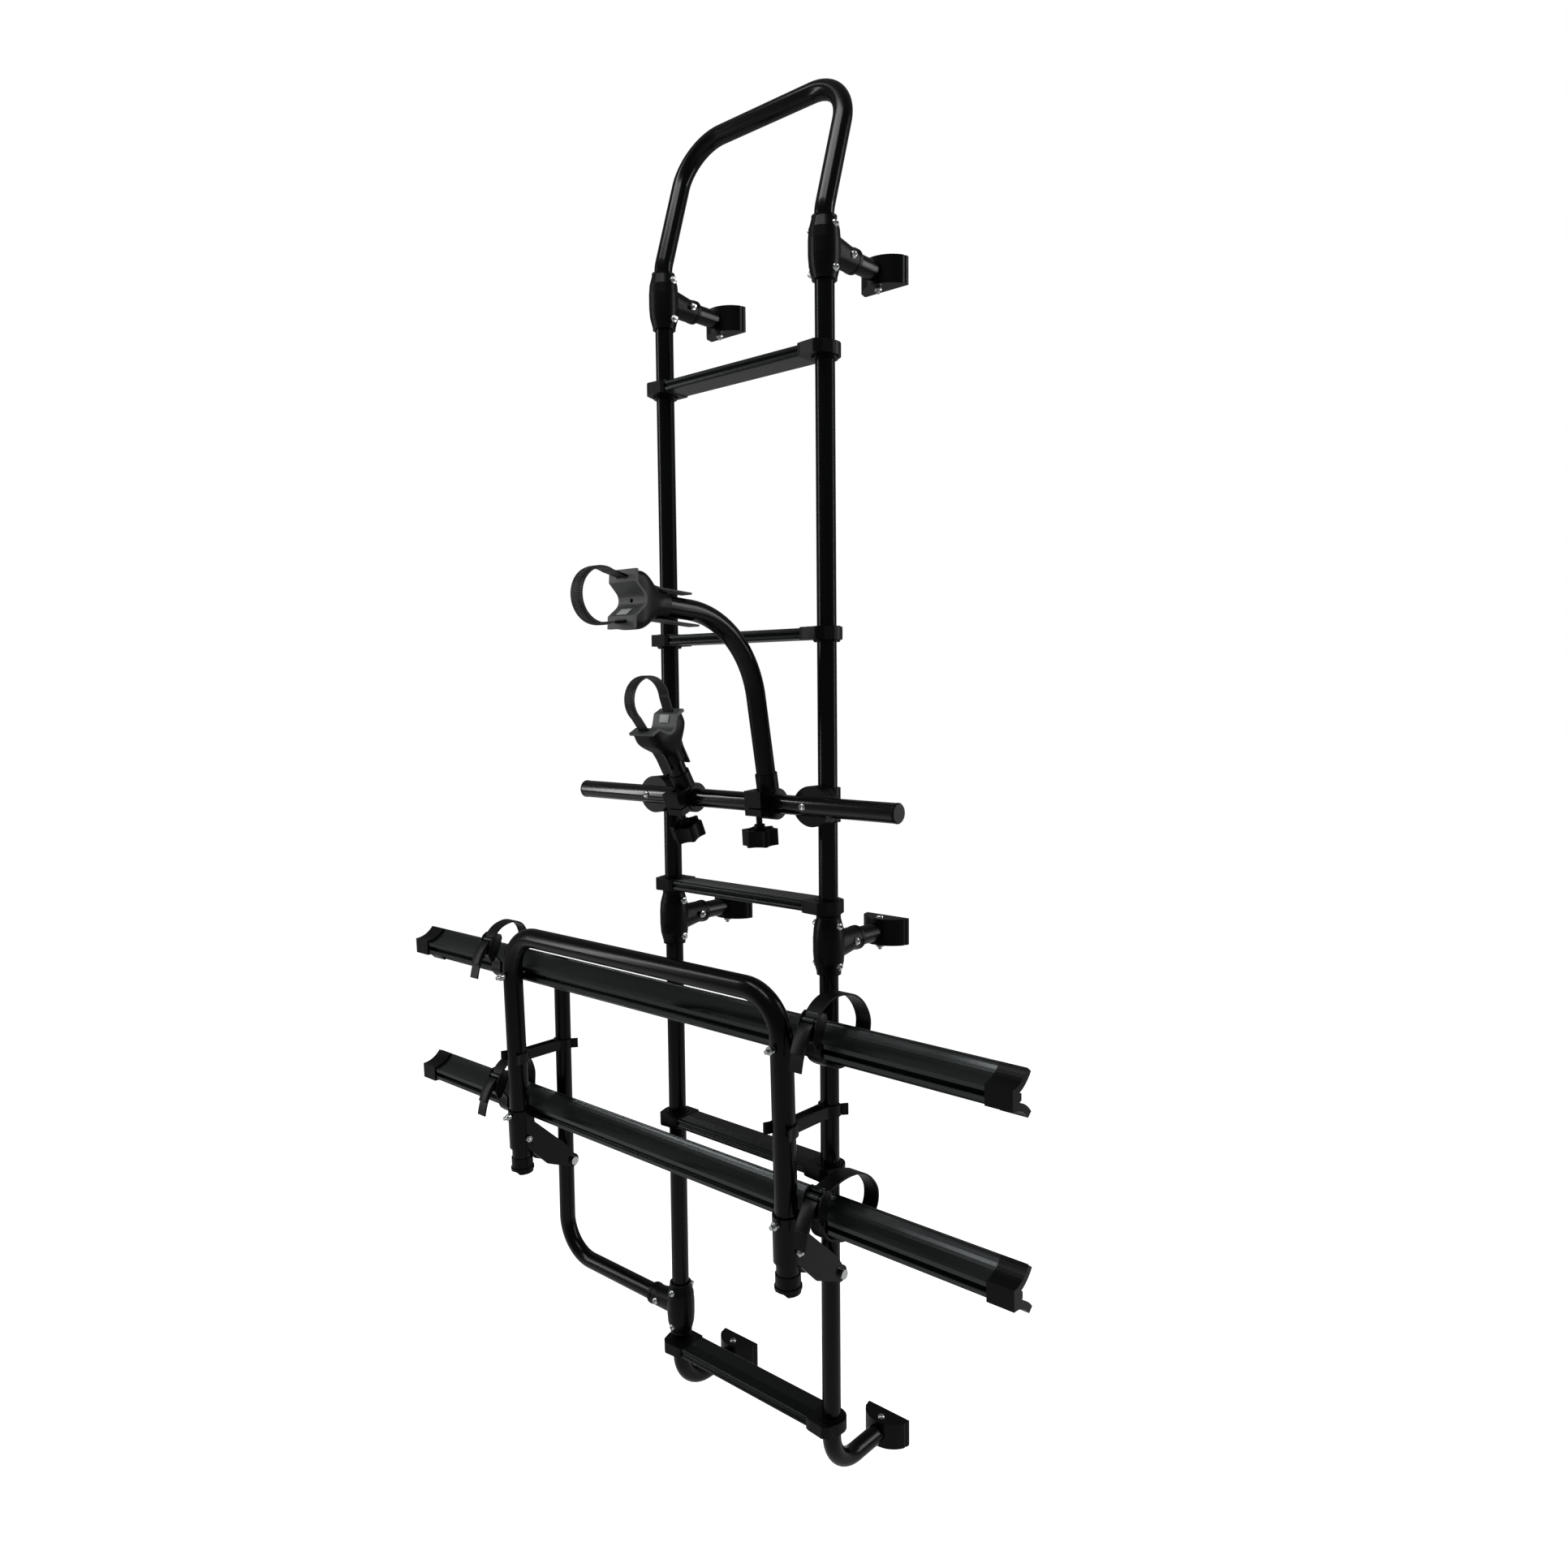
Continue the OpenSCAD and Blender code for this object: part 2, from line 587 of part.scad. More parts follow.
clip_t = 3;
clip_h = 15;
clip_arm = 9;         // half the distance between a clip's two arms
module park_clip(x, z) {
    reach = leg_out(z);
    grip = hoop_leg + 0.6;
    color("#1c1d1e") translate([x, rail_y, z - clip_h / 2]) linear_extrude(clip_h) difference() {
        union() {
            circle(r = rail_r + clip_t);
            for (s = [-1, 1]) translate([s * (rail_r + 1.2), rail_r - 5]) rotate(s * -38)
                translate([-clip_t / 2, 0]) square([clip_t, 9]);
            translate([0, -reach]) circle(r = grip + clip_t);
            for (s = [-1, 1]) translate([s * (grip + clip_t / 2), -reach - 7]) rotate(s * 24)
                translate([-clip_t / 2, -9]) square([clip_t, 10]);
            translate([-grip - clip_t, -reach - 8]) square([2 * (grip + clip_t), 8]);
            translate([-clip_arm, -reach + grip]) square([2 * clip_arm, reach - grip - rail_r]);
        }
        circle(r = rail_r + fit);
        translate([0, -reach]) circle(r = grip);
        translate([-grip, -reach - 20]) square([2 * grip, 20]);
        translate([-clip_arm + clip_t, -reach + grip + clip_t + 1])
            square([2 * (clip_arm - clip_t), reach - grip - rail_r - 2 * clip_t - 2]);
        translate([-rail_r - 0.5, rail_r - 5]) square([rail_d + 1, 20]);
    }
}
clip_left_z = hinge_z + 193;
clip_right_z = hinge_z + 218;
module park_clip_left() park_clip(post_x, clip_left_z);
module park_clip_right() park_clip(0, clip_right_z);

/* Support bar and its saddles */

module support_bar() {
    color("#3a3d3f") bar_x(bar_right - bar_l, bar_right, bar_y, bar_z, rail_d);
}
module support_bar_caps() {
    color("#1f2122") for (s = [0, 1]) translate([bar_right - s * bar_l, bar_y, bar_z])
        rotate([0, s == 0 ? 90 : -90, 0]) union() {
            cylinder(d = rail_d + 0.6, h = 2);
            translate([0, 0, 2]) cylinder(d1 = rail_d + 0.6, d2 = rail_d - 2, h = 1.5);
        }
}

// Saddle between the bar and a rail: a leaf-shaped plate behind the bar, and a collar round the rail
saddle_w = 62;
saddle_h = 52;
saddle_depth = 22;
saddle_slit = 1;
module saddle_leaf(shrink) {
    w = saddle_w - 2 * shrink;
    h = saddle_h - 2 * shrink;
    r = (w * w + h * h) / (4 * h);
    off = r - h / 2;
    intersection() {
        translate([0, off]) circle(r = r);
        translate([0, -off]) circle(r = r);
    }
}
module bar_saddle(x) {
    front = bar_y - 2;
    slit_y = front + saddle_depth / 2;
    color("#2f3234") translate([x, 0, bar_z]) difference() {
        union() {
            translate([0, front + saddle_depth, 0]) rotate([90, 0, 0]) linear_extrude(saddle_depth)
                saddle_leaf(0);
            translate([0, rail_y, -saddle_h * 0.42]) cylinder(r = rail_r + 4, h = saddle_h * 0.84);
        }
        translate([0, slit_y + saddle_slit, 0]) rotate([90, 0, 0]) linear_extrude(saddle_slit) difference() {
            saddle_leaf(-2);
            saddle_leaf(4);
        }
        translate([0, rail_y, -saddle_h]) cylinder(r = rail_r + fit, h = 2 * saddle_h);
        bar_x(-saddle_w, saddle_w, bar_y, 0, rail_d + 2 * fit);
    }
}
module bar_saddle_left() bar_saddle(left_x);
module bar_saddle_right() bar_saddle(0);

/* Frame holder arms: drawn about the bar axis with the clamp screw upright, then turned */

module arm_at(x, turn) {
    translate([x, bar_y, bar_z]) rotate([turn, 0, 0]) children();
}

ring_r = rail_r + 8;
lug_y = -33;
lug_top = 20;
lug_low = -12;
screw_y = -20 - screw_d / 4;
split_low = -3;
split_high = -1;
socket_h = 40;
socket_low = rail_r + 5;
module arm_clamp(x, turn) {
    color("#26292b") arm_at(x, turn) difference() {
        union() {
            bar_x(-clamp_w / 2, clamp_w / 2, 0, 0, 2 * ring_r);
            bar_x(-clamp_w / 2 - 1.5, clamp_w / 2 + 1.5, 0, 0, 2 * ring_r - 5);
            translate([-clamp_w / 2, lug_y, lug_low]) cube([clamp_w, -lug_y, lug_top - lug_low]);
            rotate([arm_lean, 0, 0]) cylinder(d = rail_d + 4, h = socket_h);
        }
        bar_x(-clamp_w, clamp_w, 0, 0, rail_d + 2 * run_fit);
        rotate([arm_lean, 0, 0]) translate([0, 0, socket_low]) cylinder(r = rail_r + fit, h = 60);
        translate([-clamp_w, lug_y - 1, split_low]) cube([2 * clamp_w, -lug_y, split_high - split_low]);
        translate([0, screw_y, lug_low - 1]) cylinder(r = screw_d / 2 + run_fit, h = 60);
    }
}
module long_arm_clamp() arm_clamp(long_arm_x, long_arm_turn);
module short_arm_clamp() arm_clamp(short_arm_x, short_arm_turn);

tube_start = socket_low + end_gap;
arm_sweep = 90 - arm_lean - long_arm_turn - arm_end_rise;
socket_in = 12;       // length of a tube inside its head
module long_arm_tube() {
    color("#2b2d2f") arm_at(long_arm_x, long_arm_turn) rotate([arm_lean, 0, 0]) union() {
        translate([0, 0, tube_start]) cylinder(d = rail_d, h = arm_straight - tube_start);
        translate([0, -arm_bend_r, arm_straight]) rotate([90, 0, 90])
            tube_bend(rail_d, arm_bend_r, 0, arm_sweep);
        long_arm_end() translate([0, 0, -seam_in])
            cylinder(d = rail_d - 2 * seam, h = arm_reach + socket_in + seam_in);
    }
}
// Moves to the outer end of the long arm's bend, with +Z along the tube
module long_arm_end() {
    translate([0, -arm_bend_r + arm_bend_r * cos(arm_sweep), arm_straight + arm_bend_r * sin(arm_sweep)])
        rotate([arm_sweep, 0, 0]) children();
}
module short_arm_tube() {
    color("#2b2d2f") arm_at(short_arm_x, short_arm_turn) rotate([arm_lean, 0, 0])
        translate([0, 0, tube_start]) cylinder(d = rail_d, h = short_reach + socket_in - tube_start);
}

// Places a holder head's parts: +Z along the tube's end, 0 at the neck
module at_long_head() {
    arm_at(long_arm_x, long_arm_turn) rotate([arm_lean, 0, 0]) long_arm_end()
        translate([0, 0, arm_reach]) children();
}
module at_short_head() {
    arm_at(short_arm_x, short_arm_turn) rotate([arm_lean, 0, 0]) translate([0, 0, short_reach]) children();
}

// Front faces of a head and its pad as (height, depth): two lips and a groove with a round bottom
neck_r = rail_r + 4;
pad_front = 54;       // from the neck to the pad's lips
pad_t = 4;
groove_r = 12;
groove_a = 48;
groove_deep = 15;
function groove_line(depth) = let (c = depth - groove_deep + groove_r, out = groove_deep - groove_r
        + groove_r * cos(groove_a), edge = groove_r * sin(groove_a) + out * cos(groove_a) / sin(groove_a))
    concat([[head_h / 2, depth], [edge, depth]],
        [for (p = arc(0, 0, groove_r, 180 - groove_a, 180 + groove_a, 10)) [p[1], c + p[0]]],
        [[-edge, depth], [-head_h / 2, depth]]);

// Centre line of the holder strap's straight runs: height at the neck, at the pad, and the loop
run_low = rail_r + 5.5;
run_high = head_h / 2 - 8;
head_strap_t = 2.4;
hold_r = 32;          // outer radius of the strap's loop
hold_c = pad_front + 32;
module strap_run(tail, grow) {
    t = head_strap_t / 2 + grow;
    polygon([[run_high - t, pad_front + 1], [run_high + t, pad_front + 1], [run_low + t, 4], [run_low + t, -tail],
        [run_low - t, -tail], [run_low - t, 4]]);
}

bell_r = 26;
module head_body() {
    corner = 7;
    back = pad_front - pad_t - 0.3;
    color("#26292b") difference() {
        intersection() {
            rotate_extrude($fn = 64) polygon(concat([[0, -8], [neck_r - 1.5, -8], [neck_r, -6.5]],
                arc(neck_r + bell_r, 3, bell_r, 180, 96, 10), [[60, 29], [60, 70], [0, 70]]));
            translate([0, 0, -10]) linear_extrude(80) union() {
                square([head_w - 2 * corner, head_h], center = true);
                square([head_w, head_h - 2 * corner], center = true);
                for (sx = [-1, 1], sy = [-1, 1]) translate([sx * (head_w / 2 - corner), sy * (head_h / 2 - corner)])
                    circle(r = corner);
            }
        }
        translate([0, 0, -9]) cylinder(r = rail_r + fit, h = 9 + socket_in + end_gap);
        along_x(-head_w, head_w) polygon(concat(groove_line(back), [[-head_h, back], [-head_h, 90],
            [head_h, 90], [head_h, back]]));
        for (s = [-1, 1]) mirror([0, s < 0 ? 1 : 0, 0])
            along_x(-strap_w / 2 - 0.5, strap_w / 2 + 0.5) strap_run(20, 0.6);
    }
}
module long_arm_head() at_long_head() head_body();
module short_arm_head() at_short_head() head_body();

// Pad: a bent sheet with a groove along X that takes the bicycle's frame tube
module pad_body() {
    front = groove_line(pad_front);
    rear = groove_line(pad_front - pad_t);
    color("#5c6062") difference() {
        along_x(-head_w / 2 - 0.5, head_w / 2 + 0.5)
            polygon(concat(front, [for (i = [len(rear) - 1 : -1 : 0]) rear[i]]));
        for (s = [-1, 1]) mirror([0, s < 0 ? 1 : 0, 0])
            along_x(-strap_w / 2 - 0.5, strap_w / 2 + 0.5)
                translate([run_high - head_strap_t / 2 - 0.8, 0]) square([head_strap_t + 1.6, 90]);
        translate([0, 0, pad_front - 30]) cylinder(d = 5, h = 30);
    }
}
module long_arm_pad() at_long_head() pad_body();
module short_arm_pad() at_short_head() pad_body();

// Holder strap: a toothed loop in front of the pad, whose two ends run back through the head
module head_strap(tail_high, tail_low) {
    w = strap_w / 2;
    color("#1c1d1e") union() {
        along_x(-w, w) difference() {
            polygon(concat([[run_high + head_strap_t / 2, pad_front - 2]], arc(0, hold_c, hold_r, -22, 202, 36),
                [[-run_high - head_strap_t / 2, pad_front - 2]]));
            polygon(concat([[run_high - head_strap_t / 2, pad_front - 3]],
                arc(0, hold_c, hold_r - head_strap_t, -22, 202, 36),
                [[-run_high + head_strap_t / 2, pad_front - 3]]));
        }
        along_x(-w, w) strap_run(tail_high, 0);
        mirror([0, 1, 0]) along_x(-w, w) strap_run(tail_low, 0);
    }
}
module long_arm_strap() at_long_head() head_strap(46, 60);
module short_arm_strap() at_short_head() head_strap(22, 18);

// Star knob on its screw: six corners, with pockets between the ribs on its upper side
knob_h = 21;
knob_drop = 24;       // from the lug down to the knob's seat
knob_side_c = 36;     // distance from the axis to the centres of the sides' hollows
knob_side_r = 17.8;
module knob_outline(shrink) {
    difference() {
        circle(d = knob_d - 2 * shrink);
        for (i = [0 : 5]) rotate([0, 0, i * 60]) translate([knob_side_c, 0]) circle(r = knob_side_r + shrink);
    }
}
module knob(x, turn) {
    low = -knob_drop - knob_h + 6;
    color("#1f2122") arm_at(x, turn) translate([0, screw_y, lug_low]) union() {
        translate([0, 0, low + 2]) cylinder(d = screw_d, h = -low - 2 + lug_top - lug_low - 4);
        translate([0, 0, low + 2]) cylinder(d = screw_d + 6, h = knob_h + 4);
        translate([0, 0, low]) difference() {
            linear_extrude(knob_h) knob_outline(0);
            translate([0, 0, 6]) linear_extrude(knob_h) difference() {
                knob_outline(2.4);
                for (i = [0 : 2]) rotate([0, 0, 30 + i * 60]) square([knob_d, 2.4], center = true);
            }
        }
    }
}
module long_arm_knob() knob(long_arm_x, long_arm_turn);
module short_arm_knob() knob(short_arm_x, short_arm_turn);

rail_left();
rail_right();
top_hoop();
tread_1();
tread_2();
tread_3();
tread_4();
tread_5();
tread_clamps_left();
tread_clamps_right();
tee_upper_left();
tee_upper_right();
tee_mid_left();
tee_mid_right();
tee_side_post();
stand_off_tubes();
wall_pads_upper();
wall_pads_mid();
wall_pad_lower_left();
wall_pad_lower_right();
side_post();
side_post_cap();
park_clip_left();
park_clip_right();
support_bar();
support_bar_caps();
bar_saddle_left();
bar_saddle_right();
fold_bolts();
carrier_hoop();
hoop_end_caps();
fold_bracket_left();
fold_bracket_right();
wheel_rail_upper();
wheel_rail_lower();
wheel_rail_caps();
wheel_rail_bolts();
wheel_strap_upper_left();
wheel_strap_upper_right();
wheel_strap_lower_left();
wheel_strap_lower_right();
wheel_strap_buckles();
long_arm_clamp();
long_arm_tube();
long_arm_head();
long_arm_pad();
long_arm_strap();
long_arm_knob();
short_arm_clamp();
short_arm_tube();
short_arm_head();
short_arm_pad();
short_arm_strap();
short_arm_knob();
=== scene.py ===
# %% [markdown]
# # A van ladder with a folding bicycle carrier
# The real thing is a black aluminium ladder that hangs on a vehicle's rear wall, with a bicycle carrier
# folded up against it. Its solids come from a CAD program. This script gives them their finishes, and adds
# the pieces that are easier to model here: nuts, screws, straps, buckles, holder heads, teeth and labels.

# %% Load the solids
import json
import math

import bmesh
import bpy
from mathutils import Matrix, Vector

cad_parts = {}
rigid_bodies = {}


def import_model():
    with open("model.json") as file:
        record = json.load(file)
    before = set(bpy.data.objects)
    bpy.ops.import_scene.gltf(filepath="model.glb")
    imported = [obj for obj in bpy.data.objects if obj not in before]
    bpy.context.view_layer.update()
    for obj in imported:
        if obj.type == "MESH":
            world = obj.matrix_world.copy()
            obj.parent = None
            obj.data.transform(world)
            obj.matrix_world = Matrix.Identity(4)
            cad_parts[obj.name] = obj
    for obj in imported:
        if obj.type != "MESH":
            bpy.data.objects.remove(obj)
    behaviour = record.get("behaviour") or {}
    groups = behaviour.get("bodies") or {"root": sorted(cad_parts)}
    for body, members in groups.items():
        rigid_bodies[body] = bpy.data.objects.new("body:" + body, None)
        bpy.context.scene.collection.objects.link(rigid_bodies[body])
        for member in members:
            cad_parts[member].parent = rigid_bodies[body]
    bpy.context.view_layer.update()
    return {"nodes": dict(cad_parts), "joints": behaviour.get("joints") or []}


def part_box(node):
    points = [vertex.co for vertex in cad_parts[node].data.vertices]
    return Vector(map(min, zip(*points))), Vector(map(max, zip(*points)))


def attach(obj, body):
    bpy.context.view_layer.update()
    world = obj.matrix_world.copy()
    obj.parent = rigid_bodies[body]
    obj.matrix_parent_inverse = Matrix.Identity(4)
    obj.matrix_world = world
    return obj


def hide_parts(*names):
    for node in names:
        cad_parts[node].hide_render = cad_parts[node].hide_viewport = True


for leftover in list(bpy.data.objects):
    bpy.data.objects.remove(leftover)
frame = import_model()

# %% [markdown]
# The camera stands in front of the carrier, to the right and at chest height, and looks slightly down.
# Its place and lens were worked out from the ladder's straight tubes, so the angles below are not round
# numbers. A camera in Blender looks along its own -Z, so the turns are: tip it up to the horizon, lower it
# by the pitch, and then swing it to the left by the yaw.

# %% Camera
PHOTO_SIZE = 1932
LENS_PIXELS = 1387.9
OPTIC_CENTRE = (978.55, 956.63)
CAMERA_PLACE = (0.90447, -1.24320, 1.04647)
YAW, PITCH, ROLL = (math.radians(a) for a in (40.802, 4.469, 0.495))
SENSOR = 36.0

camera_data = bpy.data.cameras.new("camera")
camera = bpy.data.objects.new("camera", camera_data)
bpy.context.scene.collection.objects.link(camera)
camera_data.sensor_width = SENSOR
camera_data.lens = LENS_PIXELS / PHOTO_SIZE * SENSOR
camera_data.shift_x = (PHOTO_SIZE / 2 - OPTIC_CENTRE[0]) / PHOTO_SIZE
camera_data.shift_y = (OPTIC_CENTRE[1] - PHOTO_SIZE / 2) / PHOTO_SIZE
camera.matrix_world = (Matrix.Translation(CAMERA_PLACE)
                       @ Matrix.Rotation(YAW, 4, "Z")
                       @ Matrix.Rotation(math.pi / 2 - PITCH, 4, "X")
                       @ Matrix.Rotation(-ROLL, 4, "Z"))
bpy.context.scene.camera = camera
print("lens in mm:", round(camera_data.lens, 2))

# %% [markdown]
# The product stands in a white studio. The camera sees a white room, but a white world bright enough for
# that would turn black paint grey. So the world is two backgrounds: the camera's rays get the white one,
# and all other rays a dim one, which fills the shadows.

# %% White room
WHITE = (1.0, 1.0, 1.0, 1.0)
WORLD_LIGHT = 0.14

world = bpy.data.worlds.new("studio")
bpy.context.scene.world = world
world.use_nodes = True
nodes, links = world.node_tree.nodes, world.node_tree.links
nodes.clear()
room_seen = nodes.new("ShaderNodeBackground")
room_light = nodes.new("ShaderNodeBackground")
room_light.inputs["Strength"].default_value = WORLD_LIGHT
room_seen.inputs["Color"].default_value = WHITE
room_light.inputs["Color"].default_value = WHITE
rays = nodes.new("ShaderNodeLightPath")
seen = nodes.new("ShaderNodeMath")
seen.operation = "MAXIMUM"
links.new(rays.outputs["Is Camera Ray"], seen.inputs[0])
links.new(rays.outputs["Is Transmission Ray"], seen.inputs[1])
mix = nodes.new("ShaderNodeMixShader")
links.new(seen.outputs[0], mix.inputs[0])
links.new(room_light.outputs[0], mix.inputs[1])
links.new(room_seen.outputs[0], mix.inputs[2])
links.new(mix.outputs[0], nodes.new("ShaderNodeOutputWorld").inputs[0])
bpy.context.scene.view_settings.view_transform = "Standard"
print("world light:", WORLD_LIGHT)

# %% [markdown]
# The ladder hangs on its vehicle, so the floor lies well below it. A lit plane would look grey in places,
# so this one turns white for the camera by a light of its own, and still keeps what shadow falls on it. A
# share of that light is left for mirrored rays, or the undersides of the tubes would vanish.

# %% Floor
FLOOR_Z = -0.45
FLOOR_SIZE = 30
PAPER = (0.85, 0.85, 0.85, 1.0)
FLOOR_GLOW = 0.9
FLOOR_IN_PAINT = 0.12

bpy.ops.mesh.primitive_plane_add(size=FLOOR_SIZE, location=(0, 0, FLOOR_Z))
floor = bpy.context.object
floor.name = "studio_floor"
paper = bpy.data.materials.new("white_paper")
paper.use_nodes = True
sheet = paper.node_tree
matt = sheet.nodes["Principled BSDF"]
matt.inputs["Base Color"].default_value = PAPER
matt.inputs["Roughness"].default_value = 1.0
matt.inputs["Specular IOR Level"].default_value = 0.0
looked_at = sheet.nodes.new("ShaderNodeLightPath")
mirrored = sheet.nodes.new("ShaderNodeMath")
mirrored.operation = "MULTIPLY"
mirrored.inputs[1].default_value = FLOOR_IN_PAINT
glow = sheet.nodes.new("ShaderNodeMath")
glow.operation = "MULTIPLY_ADD"
glow.inputs[1].default_value = FLOOR_GLOW
sheet.links.new(looked_at.outputs["Is Glossy Ray"], mirrored.inputs[0])
sheet.links.new(looked_at.outputs["Is Camera Ray"], glow.inputs[0])
sheet.links.new(mirrored.outputs[0], glow.inputs[2])
sheet.links.new(glow.outputs[0], matt.inputs["Emission Strength"])
matt.inputs["Emission Color"].default_value = WHITE
floor.data.materials.append(paper)
print("floor at", FLOOR_Z)

# %% [markdown]
# Black paint shows only what it mirrors. Long, narrow lamps draw the bright streaks along the tubes, while
# wide ones would grey the whole paint. One stands like a window on the left, one hangs above, and one
# behind lifts the far edges.

# %% Lamps
LAMP_AIM = (-0.2, -0.1, 0.9)
LAMPS = {
    "left_window": {"place": (-2.4, -1.9, 1.6), "aim": LAMP_AIM, "size": (0.22, 2.6), "power": 24},
    "top_sheet": {"place": (-0.2, -1.2, 3.4), "aim": LAMP_AIM, "size": (2.4, 0.5), "power": 38},
    "back_strip": {"place": (1.6, 1.6, 1.6), "aim": (-0.1, -0.1, 0.9), "size": (0.3, 2.4), "power": 24},
}


def soft_lamp(name, place, aim, size, power):
    lamp = bpy.data.lights.new(name, "AREA")
    lamp.shape = "RECTANGLE"
    lamp.size, lamp.size_y = size
    lamp.energy = power
    holder = bpy.data.objects.new(name, lamp)
    bpy.context.scene.collection.objects.link(holder)
    holder.location = place
    holder.rotation_euler = (Vector(aim) - Vector(place)).to_track_quat("-Z", "Y").to_euler()


for lamp_name, lamp_row in LAMPS.items():
    soft_lamp(lamp_name, **lamp_row)
print("lamps:", ", ".join(LAMPS))

# %% [markdown]
# Every finish is a procedural material. Effects that several finishes share are kept as node groups, so
# that the grain of a moulding or the drawing lines of an extrusion are made once and then tuned by their
# inputs.

# %% Shared effects
CLOUD_SCALE = 7.0
LINE_STRETCH = (0.004, 1.0, 1.0)


def effect(name, inputs, outputs):
    """An empty node group with named float or colour sockets."""
    group = bpy.data.node_groups.new(name, "ShaderNodeTree")
    for label, value in inputs.items():
        kind = "NodeSocketColor" if isinstance(value, tuple) else "NodeSocketFloat"
        socket = group.interface.new_socket(label, in_out="INPUT", socket_type=kind)
        socket.default_value = value
    for label, kind in outputs.items():
        group.interface.new_socket(label, in_out="OUTPUT", socket_type=kind)
    return group, group.nodes.new("NodeGroupInput"), group.nodes.new("NodeGroupOutput")


def node(tree, kind, settings=None, **inputs):
    """A new node: each input is a value or another node's output, named or counted as in i_0."""
    made = tree.nodes.new(kind)
    for key, value in (settings or {}).items():
        setattr(made, key, value)
    for key, value in inputs.items():
        socket = made.inputs[key.replace("_", " ")] if not key.startswith("i_") else made.inputs[int(key[2:])]
        if isinstance(value, bpy.types.NodeSocket):
            tree.links.new(value, socket)
        else:
            socket.default_value = value
    return made


def grain_effect():
    """Fine random grain: a colour that varies a little, a roughness and a height."""
    group, given, result = effect(
        "surface_grain",
        {"Colour": WHITE, "Roughness": 0.5, "Scale": 900.0, "Colour Change": 0.06, "Roughness Change": 0.08},
        {"Colour": "NodeSocketColor", "Roughness": "NodeSocketFloat", "Height": "NodeSocketFloat"})
    place = node(group, "ShaderNodeTexCoord")
    fine = node(group, "ShaderNodeTexNoise", {"noise_dimensions": "3D"}, Vector=place.outputs["Object"],
                Scale=given.outputs["Scale"], Detail=3.0)
    cloud = node(group, "ShaderNodeTexNoise", Vector=place.outputs["Object"], Scale=CLOUD_SCALE, Detail=2.0)
    both = node(group, "ShaderNodeMath", {"operation": "ADD"}, i_0=fine.outputs["Fac"],
                i_1=cloud.outputs["Fac"])
    swing = node(group, "ShaderNodeMath", {"operation": "SUBTRACT"}, i_0=both.outputs[0], i_1=1.0)
    tint = node(group, "ShaderNodeMath", {"operation": "MULTIPLY_ADD"}, i_0=swing.outputs[0],
                i_1=given.outputs["Colour Change"], i_2=1.0)
    colour = node(group, "ShaderNodeVectorMath", {"operation": "SCALE"}, i_0=given.outputs["Colour"],
                  Scale=tint.outputs[0])
    rough = node(group, "ShaderNodeMath", {"operation": "MULTIPLY_ADD"}, i_0=swing.outputs[0],
                 i_1=given.outputs["Roughness Change"], i_2=given.outputs["Roughness"])
    group.links.new(colour.outputs[0], result.inputs["Colour"])
    group.links.new(rough.outputs[0], result.inputs["Roughness"])
    group.links.new(fine.outputs["Fac"], result.inputs["Height"])
    return group


def lines_effect():
    """Drawing lines along X, as an extrusion die leaves them."""
    group, given, result = effect("drawing_lines", {"Scale": 600.0}, {"Lines": "NodeSocketFloat"})
    place = node(group, "ShaderNodeTexCoord")
    stretch = node(group, "ShaderNodeMapping", Vector=place.outputs["Object"])
    stretch.inputs["Scale"].default_value = LINE_STRETCH
    streak = node(group, "ShaderNodeTexNoise", Vector=stretch.outputs[0], Scale=given.outputs["Scale"],
                  Detail=4.0)
    group.links.new(streak.outputs["Fac"], result.inputs["Lines"])
    return group


GRAIN = grain_effect()
LINES = lines_effect()
print("shared effects:", GRAIN.name, LINES.name)

# %% [markdown]
# One function makes every finish, so that they differ only by the numbers given to it. The grain steers
# colour, roughness and surface together, as a real coating's does. The first finish is the satin black
# paint of the tubes: very dark, smooth, and with little shine.

# %% The satin paint


def finish(name, colour, roughness, scale=900.0, bump=0.05, depth=0.0002, change=0.08, metallic=0.0,
           coat=0.0, coat_roughness=0.1, lines=0.0, shine=0.5):
    """A material: grain in its colour, roughness and surface, and drawing lines if asked for."""
    made = bpy.data.materials.new(name)
    made.use_nodes = True
    tree = made.node_tree
    shader = tree.nodes["Principled BSDF"]
    grain = node(tree, "ShaderNodeGroup", {"node_tree": GRAIN}, Colour=(*colour, 1.0), Roughness=roughness,
                 Scale=scale)
    grain.inputs["Colour Change"].default_value = change
    height = grain.outputs["Height"]
    if lines:
        streaks = node(tree, "ShaderNodeGroup", {"node_tree": LINES})
        height = node(tree, "ShaderNodeMath", {"operation": "MULTIPLY_ADD"}, i_0=streaks.outputs[0],
                      i_1=lines, i_2=height).outputs[0]
    bumps = node(tree, "ShaderNodeBump", Strength=bump, Distance=depth, Height=height)
    tree.links.new(grain.outputs["Colour"], shader.inputs["Base Color"])
    tree.links.new(grain.outputs["Roughness"], shader.inputs["Roughness"])
    tree.links.new(bumps.outputs[0], shader.inputs["Normal"])
    shader.inputs["Metallic"].default_value = metallic
    shader.inputs["Specular IOR Level"].default_value = shine
    shader.inputs["Coat Weight"].default_value = coat
    shader.inputs["Coat Roughness"].default_value = coat_roughness
    return made


satin_paint = finish("satin_paint", (0.0018, 0.0021, 0.0024), 0.20, scale=700, bump=0.006, shine=0.16)
print("first finish:", satin_paint.name, "with", len(satin_paint.node_tree.nodes), "nodes")

# %% [markdown]
# The other finishes follow the photograph: a glossier paint on the support bar, duller and darker plastic
# mouldings, brushed and dark anodised aluminium on the wheel rails, and grey rubber pads. Only the
# fasteners and the labels are bright.

